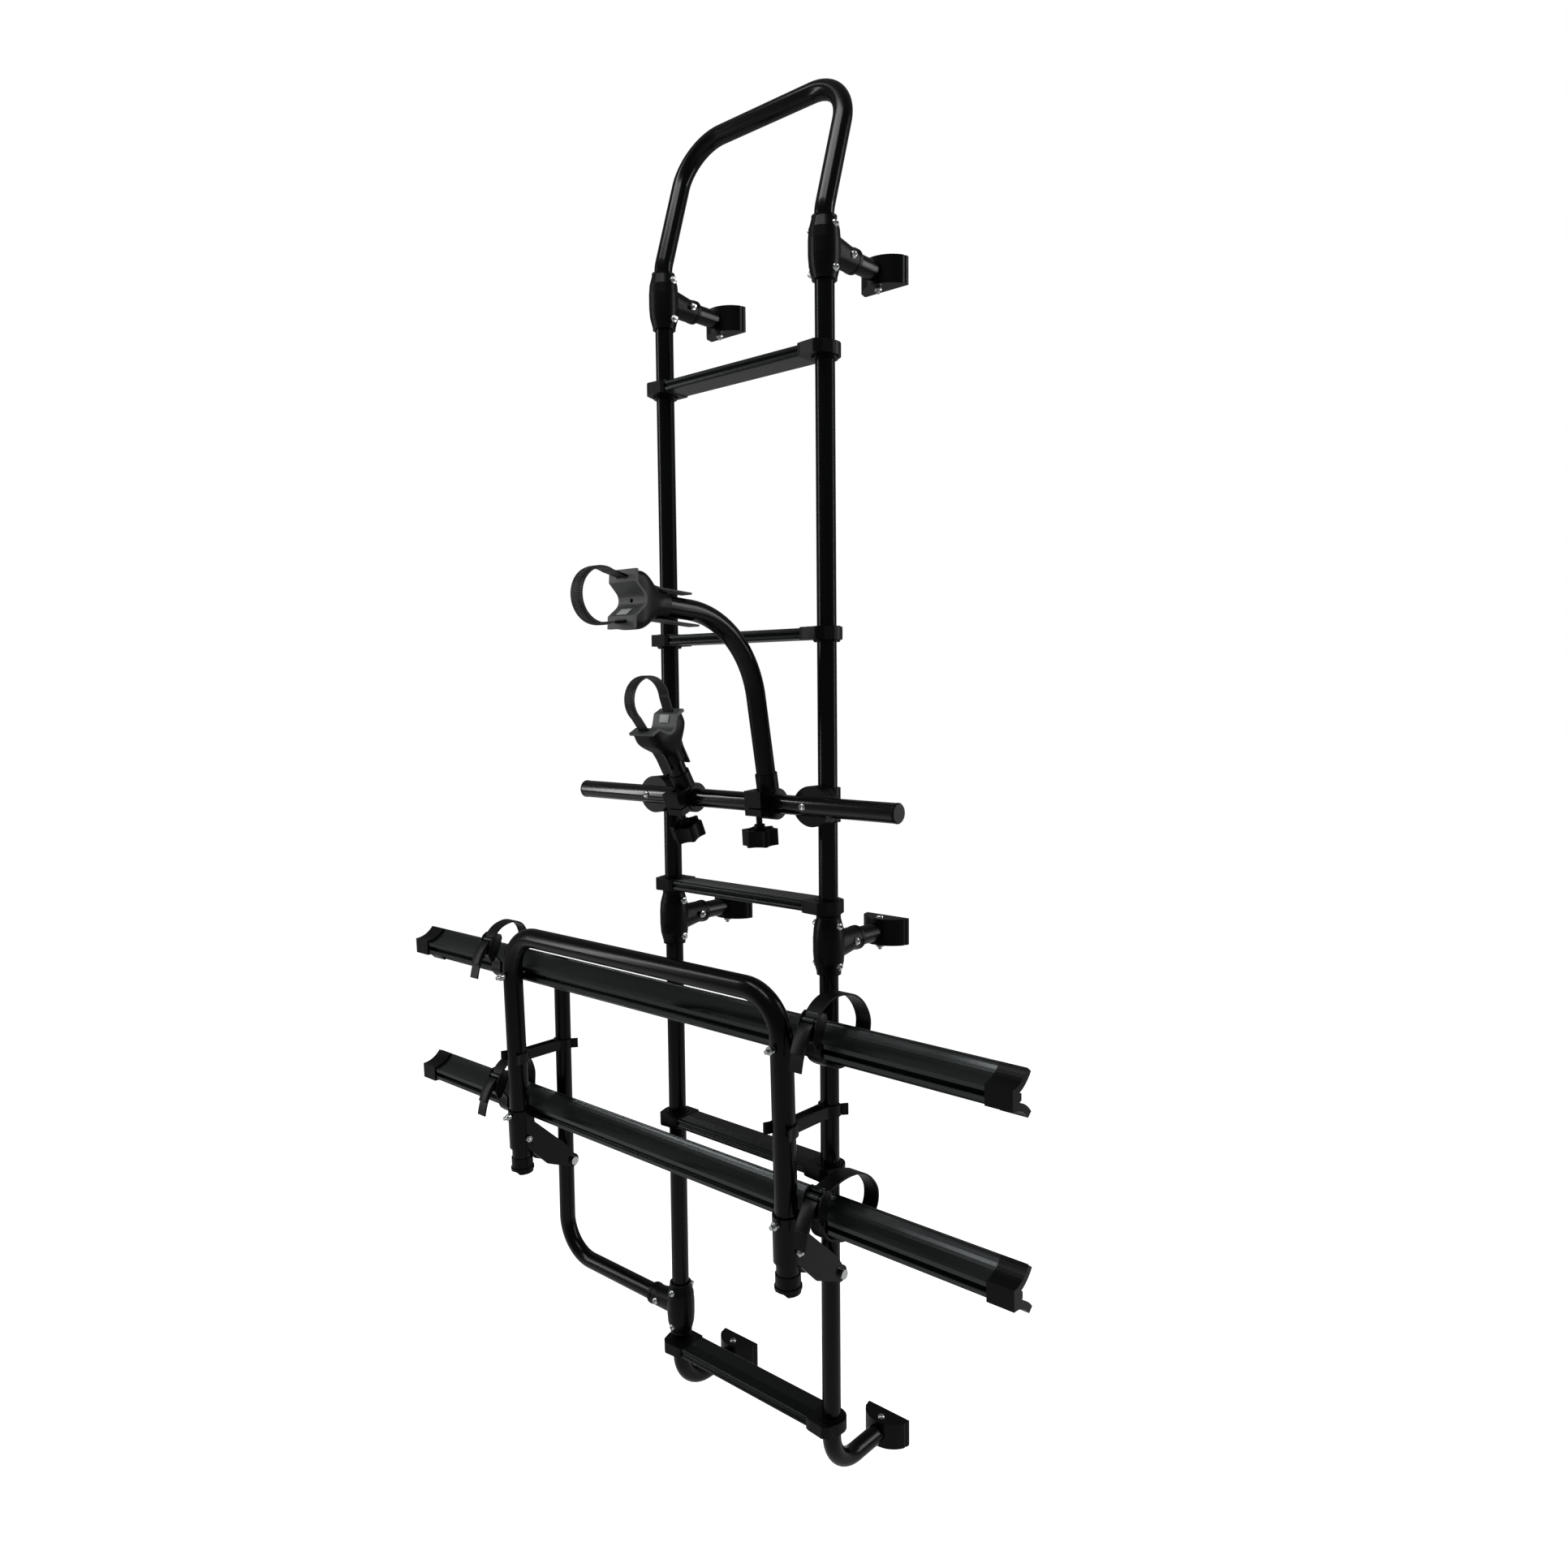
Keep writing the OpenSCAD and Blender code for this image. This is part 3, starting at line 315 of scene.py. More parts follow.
# %% Finishes
gloss_paint = finish("gloss_paint", (0.0026, 0.0029, 0.0032), 0.16, scale=700, bump=0.01, shine=0.30,
                     coat=0.15, coat_roughness=0.08)
moulding = finish("moulding", (0.0016, 0.0019, 0.0022), 0.36, scale=1600, bump=0.04, shine=0.13)
anodised = finish("anodised", (0.046, 0.051, 0.051), 0.25, scale=1200, bump=0.012, metallic=0.85, lines=1.5)
tread_metal = finish("tread_metal", (0.010, 0.0115, 0.0115), 0.27, scale=1200, bump=0.02, metallic=0.5,
                     lines=1.5, shine=0.2)
zinc = finish("zinc", (0.55, 0.56, 0.57), 0.26, scale=2000, bump=0.05, metallic=1.0)
strap_plastic = finish("strap_plastic", (0.0026, 0.0029, 0.0032), 0.38, scale=1600, bump=0.05, shine=0.18)
pad_rubber = finish("pad_rubber", (0.050, 0.053, 0.054), 0.40, scale=1600, bump=0.06, shine=0.35)
label_foil = finish("label_foil", (0.45, 0.46, 0.46), 0.45, scale=1600, bump=0.03)
others = (gloss_paint, moulding, anodised, tread_metal, zinc, strap_plastic, pad_rubber, label_foil)
print("other finishes:", ", ".join(made.name for made in others))

# %% [markdown]
# Each solid takes its finish by the start of its name, and the longest start that fits wins. So a whole
# family of solids, such as the treads, needs one entry.

# %% Finishes on the solids
FINISH_OF = {
    "rail": satin_paint, "top_hoop": satin_paint, "stand_off": satin_paint, "side_post": satin_paint,
    "tread_clamps": moulding, "tread": tread_metal, "tee": moulding, "wall_pad": moulding,
    "park_clip": strap_plastic, "support_bar_caps": moulding, "support_bar": gloss_paint,
    "bar_saddle": moulding, "fold_bolts": zinc, "carrier_hoop": satin_paint, "hoop_end_caps": moulding,
    "fold_bracket": satin_paint, "wheel_rail_caps": moulding, "wheel_rail_bolts": zinc,
    "wheel_rail": anodised, "wheel_strap": strap_plastic, "long_arm_clamp": moulding,
    "short_arm_clamp": moulding, "long_arm_tube": satin_paint, "short_arm_tube": satin_paint,
    "long_arm_head": moulding, "short_arm_head": moulding, "long_arm_pad": pad_rubber,
    "short_arm_pad": pad_rubber, "long_arm_strap": strap_plastic, "short_arm_strap": strap_plastic,
    "long_arm_knob": moulding, "short_arm_knob": moulding,
}


def finish_for(name):
    best = max((key for key in FINISH_OF if name.startswith(key)), key=len)
    return FINISH_OF[best]


for name, solid in frame["nodes"].items():
    for slot in solid.material_slots:
        slot.material = finish_for(name)
print("finishes on the solids:", sorted({finish_for(name).name for name in frame["nodes"]}))

# %% [markdown]
# Now the small pieces. Each kind is modelled once around its own origin and then copied to its places. All
# of them start from a few points, get their seams closed and faces turned outwards, and are shaded smooth
# except at real edges. Sizes are given in millimetres.

# %% First steps of a piece
MM = 0.001
CREASE = 35
SEAM = 0.00001
BEVEL_STEPS = 2


def select_only(piece):
    bpy.ops.object.select_all(action="DESELECT")
    piece.select_set(True)
    bpy.context.view_layer.objects.active = piece


def new_piece(name, points, edges=(), faces=()):
    mesh = bpy.data.meshes.new(name)
    mesh.from_pydata(points, edges, faces)
    piece = bpy.data.objects.new(name, mesh)
    bpy.context.scene.collection.objects.link(piece)
    select_only(piece)
    return piece


def smooth_below(degrees):
    """Shades the active piece smooth, but for edges sharper than this."""
    bpy.ops.object.shade_smooth_by_angle(angle=math.radians(degrees))


def tidy_up():
    """Closes seams and turns the faces outwards, in edit mode, and leaves it."""
    bpy.ops.mesh.select_all(action="SELECT")
    bpy.ops.mesh.remove_doubles(threshold=SEAM)
    bpy.ops.mesh.normals_make_consistent(inside=False)
    bpy.ops.object.mode_set(mode="OBJECT")


print("one millimetre is", MM, "and edges stay sharp from", CREASE, "degrees")

# %% [markdown]
# Two fasteners do nearly all the work. The first is a domed screw head with a socket. It is round, so half
# of its outline is drawn and spun about Z. Its foot goes a little way into what it sits on, so no gap shows.

# %% Screw head
HEAD_R, SOCKET_R = 5.2, 1.9
FOOT = -0.4


def turned(name, outline, steps=28):
    """Spins an outline of (radius, height) in millimetres about Z."""
    points = [(r * MM, 0, z * MM) for r, z in outline]
    piece = new_piece(name, points, [(i, i + 1) for i in range(len(points) - 1)])
    bpy.ops.object.mode_set(mode="EDIT")
    bpy.ops.mesh.select_all(action="SELECT")
    bpy.ops.mesh.spin(steps=steps, angle=2 * math.pi, center=(0, 0, 0), axis=(0, 0, 1))
    tidy_up()
    smooth_below(CREASE)
    return piece


dome = [(0, 0.6), (SOCKET_R, 0.6), (SOCKET_R, 3.2), (2.6, 3.3), (3.9, 2.6), (4.8, 1.5), (HEAD_R, 0.3),
        (HEAD_R, FOOT), (0, FOOT)]
screw_head = turned("screw_head", dome)
print("screw head faces:", len(screw_head.data.polygons))

# %% [markdown]
# The second fastener is a nut with the end of its bolt standing out. The nut is a cylinder with six sides,
# with its corners eased and a hole cut through it. The thread is a stack of small ridges, which looks like
# a real one at this size and is much lighter than a helix.

# %% Nut and bolt end
NUT_ACROSS, NUT_H, NUT_BORE, NUT_EDGE = 9.6, 4.6, 5.4, 0.6
THREAD_R, THREAD_DEEP, THREAD_Z, THREAD_STEP, THREAD_RIDGES = 2.7, 0.3, 1.0, 0.5, 14
TIP_R, TIP_Z = 1.9, 8.2


def cut(piece, tool):
    """Cuts one piece out of another and drops the tool."""
    select_only(piece)
    away = piece.modifiers.new("away", "BOOLEAN")
    away.object = tool
    bpy.ops.object.modifier_apply(modifier=away.name)
    bpy.data.objects.remove(tool)


def hex_nut(name, across, height, bore):
    """A six-sided nut with its corners chamfered and a hole, on Z = 0."""
    bpy.ops.mesh.primitive_cylinder_add(vertices=6, radius=across * MM / math.sqrt(3), depth=height * MM,
                                        location=(0, 0, height * MM / 2))
    piece = bpy.context.object
    piece.name = name
    bpy.ops.object.transform_apply(location=True)
    eased = piece.modifiers.new("eased", "BEVEL")
    eased.width = NUT_EDGE * MM
    eased.segments = BEVEL_STEPS
    bpy.ops.object.modifier_apply(modifier=eased.name)
    cut(piece, turned("drill", [(0, -1), (bore / 2, -1), (bore / 2, height + 1), (0, height + 1)]))
    smooth_below(CREASE)
    return piece


def joined(name, parts):
    """Several pieces become one."""
    bpy.ops.object.select_all(action="DESELECT")
    for part in parts:
        part.select_set(True)
    bpy.context.view_layer.objects.active = parts[0]
    if len(parts) > 1:
        bpy.ops.object.join()
    parts[0].name = name
    return parts[0]


nut = hex_nut("nut", NUT_ACROSS, NUT_H, NUT_BORE)
ridges = [(THREAD_R - THREAD_DEEP * (i % 2), THREAD_Z + THREAD_STEP * i) for i in range(THREAD_RIDGES)]
thread_end = turned("thread_end", [(0, FOOT), (THREAD_R, FOOT)] + ridges + [(TIP_R, TIP_Z), (0, TIP_Z)])
nut_end = joined("nut_end", [nut, thread_end])
print("nut faces:", len(nut_end.data.polygons))

# %% [markdown]
# A pattern is copied to each of its places, and the copies become one piece. That piece then rides on a
# body of the frame, so that it moves with its joint. Where it stands for a solid, the solid is hidden.

# %% Copies in their places


def put(master, name, places, body, material, stands_for=()):
    """Copies a master to each place, joins the copies and lets them ride on a body."""
    parts = []
    for place in places:
        mesh = master.data.copy()
        mesh.transform(place)
        part = bpy.data.objects.new(name, mesh)
        bpy.context.scene.collection.objects.link(part)
        parts.append(part)
    piece = joined(name, parts)
    piece.data.materials.clear()
    piece.data.materials.append(material)
    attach(piece, body)
    if stands_for:
        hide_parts(*stands_for)


def at(x, y, z, turn_y=0.0, turn_x=0.0):
    """A place in millimetres, with the piece's own Z laid over by turns about Y and then X, in degrees."""
    return (Matrix.Translation((x * MM, y * MM, z * MM)) @ Matrix.Rotation(math.radians(turn_x), 4, "X")
            @ Matrix.Rotation(math.radians(turn_y), 4, "Y"))


def middle(node_name):
    low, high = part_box(node_name)
    return [(a + b) / 2 / MM for a, b in zip(low, high)]


print("the left rail's middle:", [round(value) for value in middle("rail_left")])

# %% [markdown]
# Every tee is clamped by three bolts: two through its barrel, above and below the rail's middle, and one
# through its side sleeve. On the wall tees they lie along X with their heads on the outside and the nuts
# between the rails. The side post's tee is turned by a quarter, so its bolts lie along Y.

# %% Tee bolts
BARREL_BOLT_Z = 26
BARREL_R = 17.6
SLEEVE_BOLT_Y = 39
SLEEVE_R = 15.9
RAIL_Y = -130
BOLTS = ((0, BARREL_BOLT_Z, BARREL_R), (0, -BARREL_BOLT_Z, BARREL_R), (SLEEVE_BOLT_Y, 0, SLEEVE_R))

for level in ("upper", "mid"):
    for side, out in (("left", -1), ("right", 1)):
        tee = "tee_%s_%s" % (level, side)
        x, _, z = middle(tee)
        heads, nuts = [], []
        for dy, dz, r in BOLTS:
            heads.append(at(x + out * r, RAIL_Y + dy, z + dz, 90 * out))
            nuts.append(at(x - out * r, RAIL_Y + dy, z + dz, -90 * out))
        put(screw_head, tee + "_bolt_heads", heads, "ladder", zinc)
        put(nut_end, tee + "_nuts", nuts, "ladder", zinc)

side_tee_x = middle("rail_left")[0]
side_tee_z = middle("tee_side_post")[2]
heads, nuts = [], []
for out, dz, r in BOLTS:
    heads.append(at(side_tee_x - out, RAIL_Y - r, side_tee_z + dz, 0, 90))
    nuts.append(at(side_tee_x - out, RAIL_Y + r, side_tee_z + dz, 0, -90))
put(screw_head, "tee_side_post_bolt_heads", heads, "ladder", zinc)
put(nut_end, "tee_side_post_nuts", nuts, "ladder", zinc)
print("side post tee at", round(side_tee_x), round(side_tee_z))

# %% [markdown]
# Each wall pad holds its tube with an upright bolt. Its head lies on the pad's top face, and the nut and
# the bolt's tip hang below, but not on the lowest pads, where they would stick out under the ladder's foot.
# The support bar is held to each saddle by a small screw.

# %% Pad bolts and saddle screws
PAD_BOLT_Y = -19
SCREW_LEFT, SCREW_SUNK = 6, 0.2
heads, nuts = [], []
NUT_SHOWS = {"wall_pads_upper": True, "wall_pads_mid": True, "wall_pad_lower_right": False}
for level, nut_shows in NUT_SHOWS.items():
    low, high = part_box(level)
    for x in (side_tee_x, 0):
        heads.append(at(x, PAD_BOLT_Y, high.z / MM))
        if nut_shows:
            nuts.append(at(x, PAD_BOLT_Y, low.z / MM, 180))
put(screw_head, "pad_bolt_heads", heads, "ladder", zinc)
put(nut_end, "pad_nuts", nuts, "ladder", zinc)

bar_low, bar_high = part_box("support_bar")
bar_z = (bar_low.z + bar_high.z) / 2 / MM
screw_y = bar_low.y / MM + SCREW_SUNK
put(screw_head, "saddle_screws", [at(x - SCREW_LEFT, screw_y, bar_z, 0, 90) for x in (side_tee_x, 0)],
    "ladder", zinc)
print("support bar at height", round(bar_z))

# %% [markdown]
# The carrier leans by a small angle about its fold axis, so its fasteners are placed in the frame of that
# axis, as they would be drawn with the hoop upright. A cross bolt joins each bracket to its leg.

# %% Carrier fasteners
FOLD_LEAN = 1.5
LEG_Y = -85
CHEEK_OUT = 18.3
CROSS_BOLT_Z = 66
fold_axis = next(joint for joint in frame["joints"] if joint["name"] == "carrier_fold")["pos_m"]
fold = Matrix.Translation((0, fold_axis[1], fold_axis[2])) @ Matrix.Rotation(math.radians(FOLD_LEAN), 4, "X")
post_x = middle("side_post_cap")[0]
heads, nuts = [], []
for x in (post_x, 0):
    heads.append(fold @ at(x - CHEEK_OUT, LEG_Y, CROSS_BOLT_Z, -90))
    nuts.append(fold @ at(x + CHEEK_OUT, LEG_Y, CROSS_BOLT_Z, 90))
put(screw_head, "bracket_bolt_heads", heads, "carrier", zinc)
put(nut_end, "bracket_nuts", nuts, "carrier", zinc)
print("fold axis at height", round(fold_axis[2] / MM), "and side post at", round(post_x))

# %% [markdown]
# Straps are flat bands. A band follows a smooth curve through a few points, which a Catmull-Rom curve
# gives without any handles to set. Four corners are laid out at each point of it and joined to the next.

# %% A band along a curve
BAND_CREASE = 40


def smooth(points, steps, closed):
    """A Catmull-Rom curve through points."""
    line = []
    count = len(points)
    for i in range(count if closed else count - 1):
        a, b, c, d = (Vector(points[k % count] if closed else points[min(max(k, 0), count - 1)])
                      for k in (i - 1, i, i + 1, i + 2))
        for j in range(steps):
            t = j / steps
            line.append(0.5 * (2 * b + (c - a) * t + (2 * a - 5 * b + 4 * c - d) * t * t
                               + (3 * b - a - 3 * c + d) * t ** 3))
    if not closed:
        line.append(Vector(points[-1]))
    return line


def band(name, points, width, thickness, closed, steps=8):
    """A flat band along a smooth curve of (y, z) points, as wide as asked along X."""
    line = smooth(points, steps, closed)
    count = len(line)
    corners, faces = [], []
    for i, point in enumerate(line):
        before = line[i - 1] if closed or i else point
        after = line[(i + 1) % count] if closed or i < count - 1 else point
        along = (after - before).normalized()
        out = Vector((along.y, -along.x)) * thickness / 2
        for x in (-width / 2, width / 2):
            for side in (point + out, point - out):
                corners.append((x * MM, side.x * MM, side.y * MM))
    for i in range(count if closed else count - 1):
        a, b = 4 * i, 4 * ((i + 1) % count)
        for k, m in ((0, 1), (1, 3), (3, 2), (2, 0)):
            faces.append((a + k, a + m, b + m, b + k))
    if not closed:
        last = 4 * (count - 1)
        faces += [(0, 2, 3, 1), (last, last + 1, last + 3, last + 2)]
    piece = new_piece(name, corners, (), faces)
    bpy.ops.object.mode_set(mode="EDIT")
    tidy_up()
    smooth_below(BAND_CREASE)
    return piece


print("points on a curve of four:", len(smooth([(0, 0), (1, 0), (1, 1), (0, 1)], 8, True)))

# %% [markdown]
# A ratchet strap lies on the front of the wheel rail's box, climbs through the buckle and stands up over
# the trough in a wide loop, where a wheel would pull it tight. The loops on the left and the right differ
# in the photograph, so each has its own points, as (y, z) from the box's face.

# %% Wheel straps
BAND_W, BAND_T = 23.0, 2.4
BOX_HALF = 15.3
RAIL_FACE_Y = LEG_Y + BOX_HALF
RAIL_Z = {"upper": 327, "lower": 103}
LEFT_STRAP_OUT, RIGHT_STRAP_OUT = 63, 41
LEFT_LOOP = [(-1.6, -9), (-1.7, 9), (-13, 27), (-12, 48), (4, 64), (27, 69), (45, 60), (53, 38), (52, 14),
             (54, -12), (46, -26), (30, -30), (12, -22)]
HIGH_LOOP = [(-1.6, -9), (-1.7, 9), (-8, 26), (-2, 45), (18, 58), (42, 60), (68, 53), (88, 36), (98, 12),
             (90, -12), (66, -27), (36, -31), (12, -22)]
LOW_LOOP = [(-1.6, -9), (-1.7, 9), (-9, 26), (2, 40), (26, 46), (50, 47), (74, 42), (94, 28), (107, 8),
            (104, -14), (84, -29), (44, -34), (12, -23)]
strap_places = {"left": post_x - LEFT_STRAP_OUT, "right": RIGHT_STRAP_OUT}
for level, right_loop in (("upper", HIGH_LOOP), ("lower", LOW_LOOP)):
    for side, loop in (("left", LEFT_LOOP), ("right", right_loop)):
        shape = band("band", loop, BAND_W, BAND_T, True)
        put(shape, "strap_%s_%s" % (level, side), [fold @ at(strap_places[side], RAIL_FACE_Y, RAIL_Z[level])],
            "carrier", strap_plastic, ["wheel_strap_%s_%s" % (level, side)])
        bpy.data.objects.remove(shape)
print("wheel straps at", {side: round(x) for side, x in strap_places.items()})

# %% [markdown]
# The ratchet buckle sits where the band climbs off the box. Its body is a pair of cheeks with three rollers
# between them, and a lever points down and forwards. The strap's free tail comes out over the lever. Cheeks
# and lever are plates, so each is drawn as an outline and extruded, with its edges eased.

# %% Ratchet buckles
CHEEK = [(-15, 10), (-9, 12), (-3, 20), (4, 34), (8, 46), (6, 52), (-2, 54), (-9, 50), (-15, 40), (-19, 24)]
LEVER = [(-12, 33), (-9, 39), (-14, 43), (-22, 36), (-30, 24), (-36, 10), (-34, 8), (-26, 18), (-18, 28)]
CHEEK_X, CHEEK_HALF, CHEEK_EDGE = 13.4, 1.1, 0.6
LEVER_HALF, LEVER_EDGE = 10, 0.8
TAIL = [(-6, 24), (-14, 30), (-24, 24), (-33, 6), (-38, -12)]
TAIL_NARROWER = 4
BUCKLE_MOVES = (("left", -6, 2), ("right", 0, -6))
ROLLER = [(0, -12), (3.4, -12), (3.4, -8), (4.4, -7.5), (4.4, 7.5), (3.4, 8), (3.4, 12), (0, 12)]
ROLLER_PLACES = ((-7, 44), (1, 50), (-12, 22))


def extruded(name, outline, low, high, edge=0.0):
    """An outline of (y, z) in millimetres, pulled along X from low to high, with its edges eased."""
    piece = new_piece(name, [(low * MM, y * MM, z * MM) for y, z in outline], (), [range(len(outline))])
    bpy.ops.object.mode_set(mode="EDIT")
    bpy.ops.mesh.select_all(action="SELECT")
    bpy.ops.mesh.extrude_region_move(TRANSFORM_OT_translate={"value": ((high - low) * MM, 0, 0)})
    tidy_up()
    if edge:
        eased = piece.modifiers.new("eased", "BEVEL")
        eased.width = edge * MM
        eased.segments = BEVEL_STEPS
        eased.limit_method = "ANGLE"
        bpy.ops.object.modifier_apply(modifier=eased.name)
    smooth_below(CREASE)
    return piece


cheeks = [extruded("cheek", CHEEK, x - CHEEK_HALF, x + CHEEK_HALF, CHEEK_EDGE) for x in (-CHEEK_X, CHEEK_X)]
lever = extruded("lever", LEVER, -LEVER_HALF, LEVER_HALF, LEVER_EDGE)
roller = turned("roller", ROLLER)
rollers = []
for y, z in ROLLER_PLACES:
    one = roller.data.copy()
    one.transform(at(0, y, z, 90))
    part = bpy.data.objects.new("roller", one)
    bpy.context.scene.collection.objects.link(part)
    rollers.append(part)
tail = band("tail", TAIL, BAND_W - TAIL_NARROWER, BAND_T, False)
buckle = joined("buckle", cheeks + [lever, tail])
wheels = joined("wheels", rollers)
buckle_places = [fold @ at(strap_places[side], RAIL_FACE_Y + push, z + lift)
                 for side, push, lift in BUCKLE_MOVES for z in RAIL_Z.values()]
put(buckle, "ratchet_buckles", buckle_places, "carrier", strap_plastic,
    ["wheel_strap_buckles"])
put(wheels, "buckle_rollers", buckle_places, "carrier", anodised)
print("buckle faces:", len(buckle.data.polygons))

# %% [markdown]
# Both holder arms turn on the support bar, and the long one is also bent. What sits at an arm's end is
# easiest to place in the frame of its head. So that frame is worked out once, from the joint's place, the
# arm's angles and the lengths of its tube.

# %% Frames of the holder heads
LONG_ARM_TURN, SHORT_ARM_TURN, ARM_LEAN = 4, 23, 6
ARM_SWEEP = 76
ARM_BEND, ARM_STRAIGHT, ARM_REACH, SHORT_REACH = 127, 140, 50, 68


def about_x(degrees):
    return Matrix.Rotation(math.radians(degrees), 4, "X")


def bar_axis(joint_name):
    return next(joint for joint in frame["joints"] if joint["name"] == joint_name)["pos_m"]


bend = math.radians(ARM_SWEEP)
long_head = (Matrix.Translation(bar_axis("long_arm_turn")) @ about_x(LONG_ARM_TURN + ARM_LEAN)
             @ at(0, ARM_BEND * (math.cos(bend) - 1), ARM_STRAIGHT + ARM_BEND * math.sin(bend))
             @ about_x(ARM_SWEEP) @ at(0, 0, ARM_REACH))
short_head = (Matrix.Translation(bar_axis("short_arm_turn")) @ about_x(SHORT_ARM_TURN + ARM_LEAN)
              @ at(0, 0, SHORT_REACH))
print("head heights:", [round(head.translation.z / MM) for head in (long_head, short_head)])

# %% [markdown]
# The holder straps are toothed like a cable tie. One tooth is modelled and repeated along the loop, which
# is lighter to change than a strap with teeth cut into it. Each head also has a bare label on one side of
# its groove.

# %% Strap teeth and labels
HOLD_C, HOLD_R = 86, 32
TEETH = 44
STRAP_W = 18
PAD_FRONT = 54
TOOTH = [(-1.1, -0.5), (1.1, -0.5), (1.1, 0.2), (0.2, 1.0), (-0.5, 1.0), (-1.1, 0.2)]
TOOTH_EDGE, TOOTH_SHORTER, TOOTH_SUNK = 0.2, 2, 0.5
TEETH_FROM, TEETH_OVER = -12, 204
LABEL = [(-5.5, 0.2), (5.5, 0.2), (5.5, 0.9), (-5.5, 0.9)]
LABEL_HALF, LABEL_EDGE = 9, 0.3
LABEL_Y, LABEL_BACK, GROOVE_TILT = 14.2, 5.1, 48

tooth = extruded("tooth", TOOTH, TOOTH_SHORTER - STRAP_W / 2, STRAP_W / 2 - TOOTH_SHORTER, TOOTH_EDGE)
label = extruded("label", LABEL, -LABEL_HALF, LABEL_HALF, LABEL_EDGE)
tooth_r = HOLD_R - TOOTH_SUNK
for arm, head, low_side in (("long_arm", long_head, -1), ("short_arm", short_head, 1)):
    places = []
    for i in range(TEETH):
        angle = TEETH_FROM + TEETH_OVER * i / (TEETH - 1)
        a = math.radians(angle)
        y, z = tooth_r * math.cos(a), HOLD_C + tooth_r * math.sin(a)
        places.append(head @ at(0, y, z) @ about_x(angle - 90))
    put(tooth, arm + "_strap_teeth", places, arm, strap_plastic)
    label_place = head @ at(0, low_side * LABEL_Y, PAD_FRONT - LABEL_BACK) @ about_x(low_side * GROOVE_TILT)
    put(label, arm + "_label", [label_place], arm, label_foil)
print("teeth on each holder strap:", TEETH)

# %% [markdown]
# Behind each pad sits a holder head: a plastic bell that grows out of its round neck into the pad's
# rectangle. Stacked cylinders and boxes would show steps there, so it is a loft: rings are joined whose
# outline goes from a circle to a rounded rectangle.

# %% The bell of a holder head
HEAD_W, HEAD_H = 44, 66
NECK_R, NECK_LOW, NECK_EDGE = 16.5, -8, 0.8
BELL_LOW, BELL_HIGH, HEAD_TOP = 2, 40, 58
RING_POINTS, BELL_RINGS, SQUARER = 56, 16, 3.5


def bell_ring(z):
    """Points around the bell at one height, on a superellipse that squares up as it grows."""
    t = min(max((z - BELL_LOW) / (BELL_HIGH - BELL_LOW), 0), 1)
    grown = t * t * (3 - 2 * t)
    half_w = NECK_R + (HEAD_W / 2 - NECK_R) * grown
    half_h = NECK_R + (HEAD_H / 2 - NECK_R) * grown
    power = 2 / (2 + SQUARER * grown)
    ring = []
    for i in range(RING_POINTS):
        angle = 2 * math.pi * i / RING_POINTS
        c, d = math.cos(angle), math.sin(angle)
        ring.append((half_w * MM * math.copysign(abs(c) ** power, c),
                     half_h * MM * math.copysign(abs(d) ** power, d), z * MM))
    return ring


def loft(name, heights):
    """Joins the rings at these heights into one closed skin."""
    points = [point for z in heights for point in bell_ring(z)]
    faces = []
    for level in range(len(heights) - 1):
        for i in range(RING_POINTS):
            low, low_next = level * RING_POINTS + i, level * RING_POINTS + (i + 1) % RING_POINTS
            faces.append((low, low_next, low_next + RING_POINTS, low + RING_POINTS))
    top = (len(heights) - 1) * RING_POINTS
    faces += [tuple(reversed(range(RING_POINTS))), tuple(range(top, top + RING_POINTS))]
    piece = new_piece(name, points, (), faces)
    bpy.ops.object.mode_set(mode="EDIT")
    tidy_up()
    return piece


bell_steps = [BELL_LOW + (BELL_HIGH - BELL_LOW) * i / BELL_RINGS for i in range(BELL_RINGS + 1)]
bell = loft("bell", [NECK_LOW, NECK_LOW + NECK_EDGE] + bell_steps + [HEAD_TOP])
print("bell rings:", len(bell_steps) + 3)

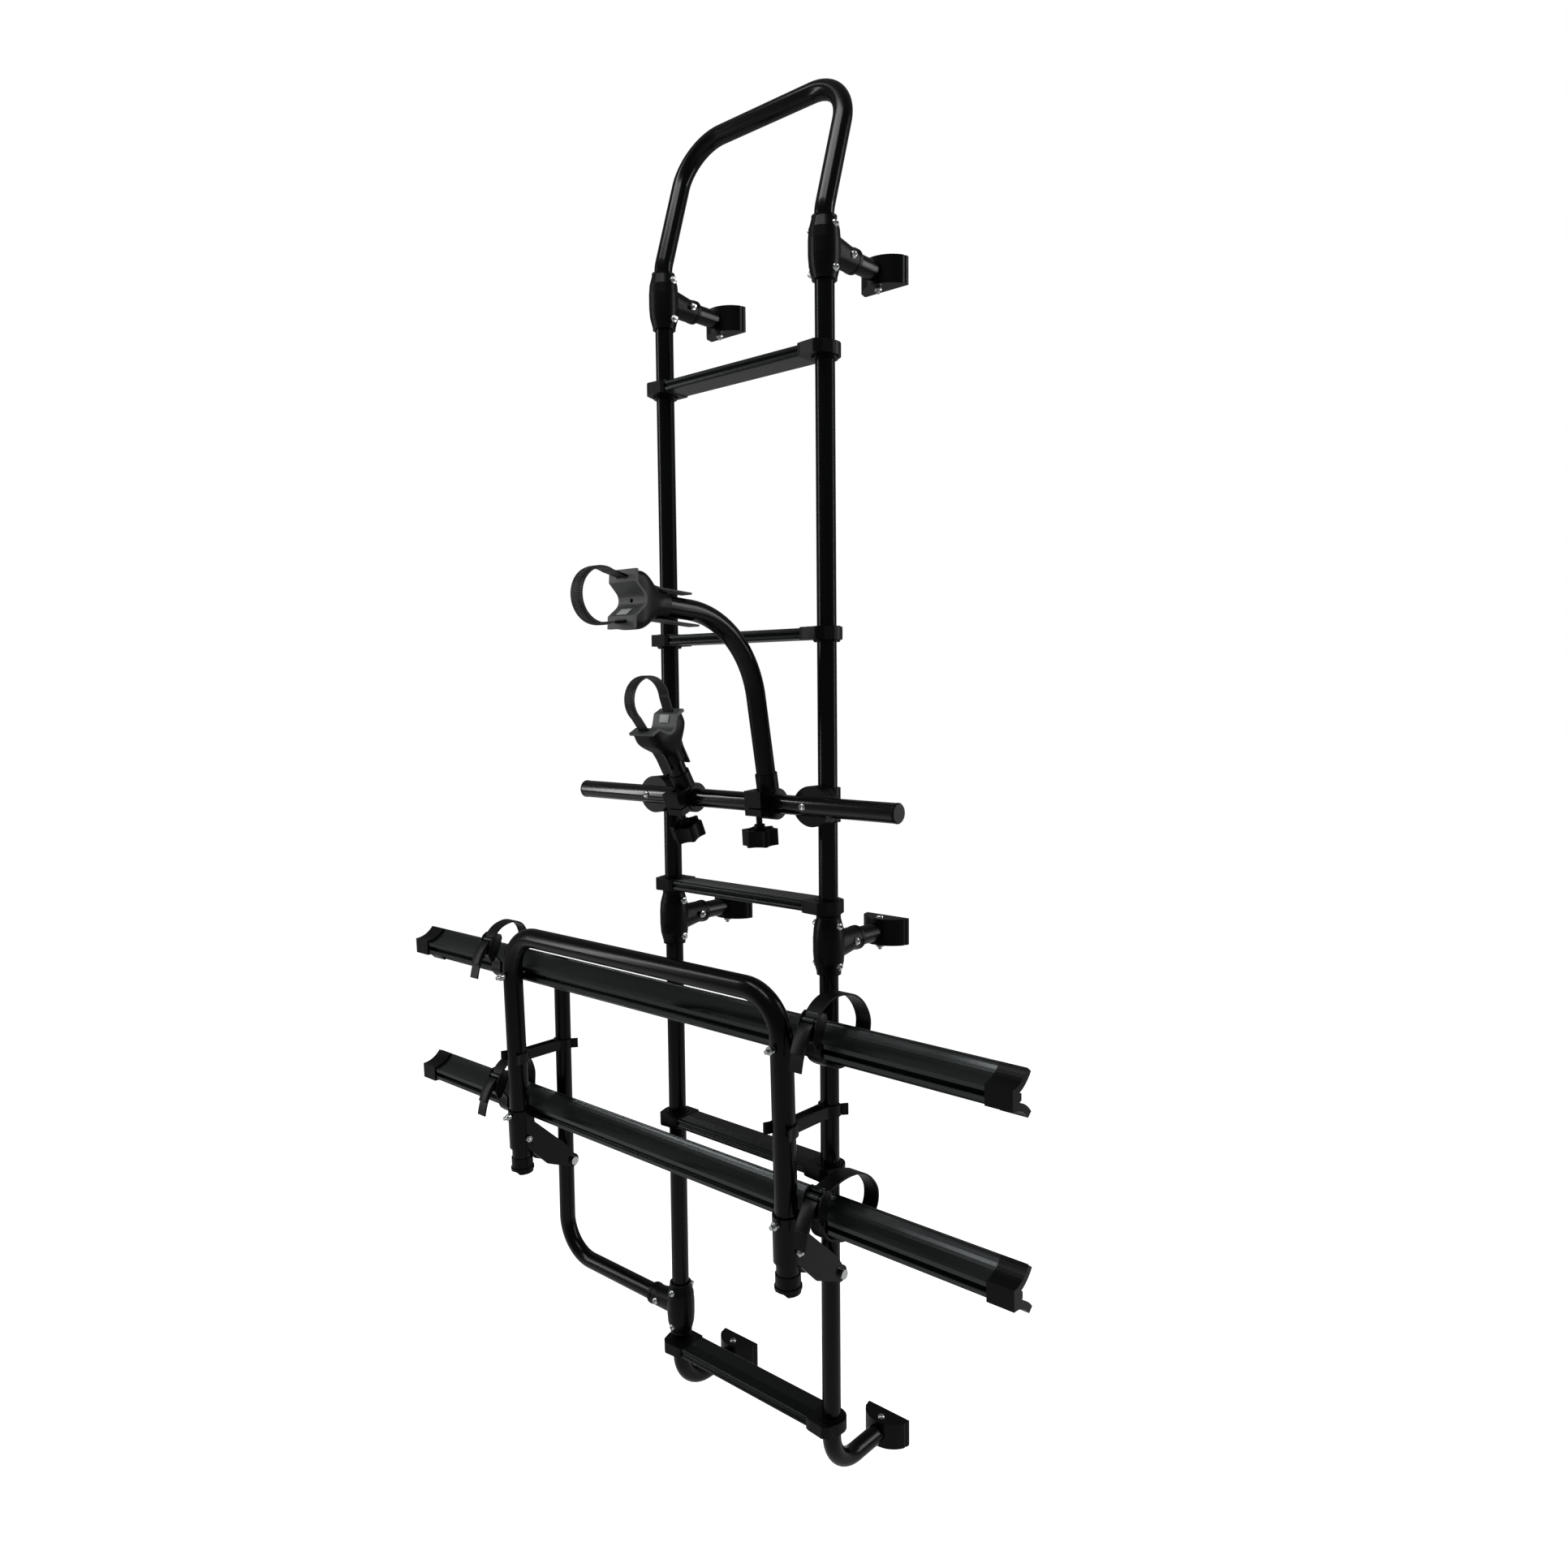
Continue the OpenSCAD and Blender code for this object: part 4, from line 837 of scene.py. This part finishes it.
# %% [markdown]
# The pad lies in a V-shaped groove with a rounded bottom, which holds a round bicycle tube, and the strap
# enters through two slots beside it. Both are cut out of the bell by flat pieces of the same outline.

# %% Groove and strap slots
GROOVE_R, GROOVE_DEEP, GROOVE_STEPS, GROOVE_OPEN = 12, 15, 10, 90
PAD_T, PAD_GAP = 4, 0.3
SLOT_T, SLOT_GAP, SLOT_BEND, SLOT_LOW, SLOT_PAST = 3.6, 0.5, 4, -12, 1
STRAP_LOW, STRAP_EDGE = 18, 8
BELL_CREASE = 38

tilt = math.radians(GROOVE_TILT)
back = PAD_FRONT - PAD_T - PAD_GAP
edge = GROOVE_R * math.sin(tilt) + (GROOVE_DEEP - GROOVE_R + GROOVE_R * math.cos(tilt)) / math.tan(tilt)
groove = [(HEAD_H, back), (edge, back)]
for i in range(GROOVE_STEPS + 1):
    angle = math.pi - tilt + 2 * tilt * i / GROOVE_STEPS
    groove.append((GROOVE_R * math.sin(angle), back - GROOVE_DEEP + GROOVE_R + GROOVE_R * math.cos(angle)))
groove += [(-edge, back), (-HEAD_H, back), (-HEAD_H, GROOVE_OPEN), (HEAD_H, GROOVE_OPEN)]
cut(bell, extruded("groove", groove, -HEAD_W, HEAD_W))
half = SLOT_T / 2
slot_x = STRAP_W / 2 + SLOT_GAP
slot_top = PAD_FRONT + SLOT_PAST
strap_high = HEAD_H / 2 - STRAP_EDGE
slot = [(strap_high - half, slot_top), (strap_high + half, slot_top), (STRAP_LOW + half, SLOT_BEND),
        (STRAP_LOW + half, SLOT_LOW), (STRAP_LOW - half, SLOT_LOW), (STRAP_LOW - half, SLOT_BEND)]
for side in (-1, 1):
    cut(bell, extruded("slot", [(side * y, z) for y, z in slot], -slot_x, slot_x))
select_only(bell)
smooth_below(BELL_CREASE)
for arm, head in (("long_arm", long_head), ("short_arm", short_head)):
    put(bell, arm + "_bell", [head], arm, moulding, [arm + "_head"])
print("bell faces:", len(bell.data.polygons))

# %% [markdown]
# The masters were only patterns, so they leave the scene once every copy is made.

# %% Clear the patterns away
for pattern in (screw_head, nut_end, buckle, wheels, roller, tooth, label, bell):
    bpy.data.objects.remove(pattern)
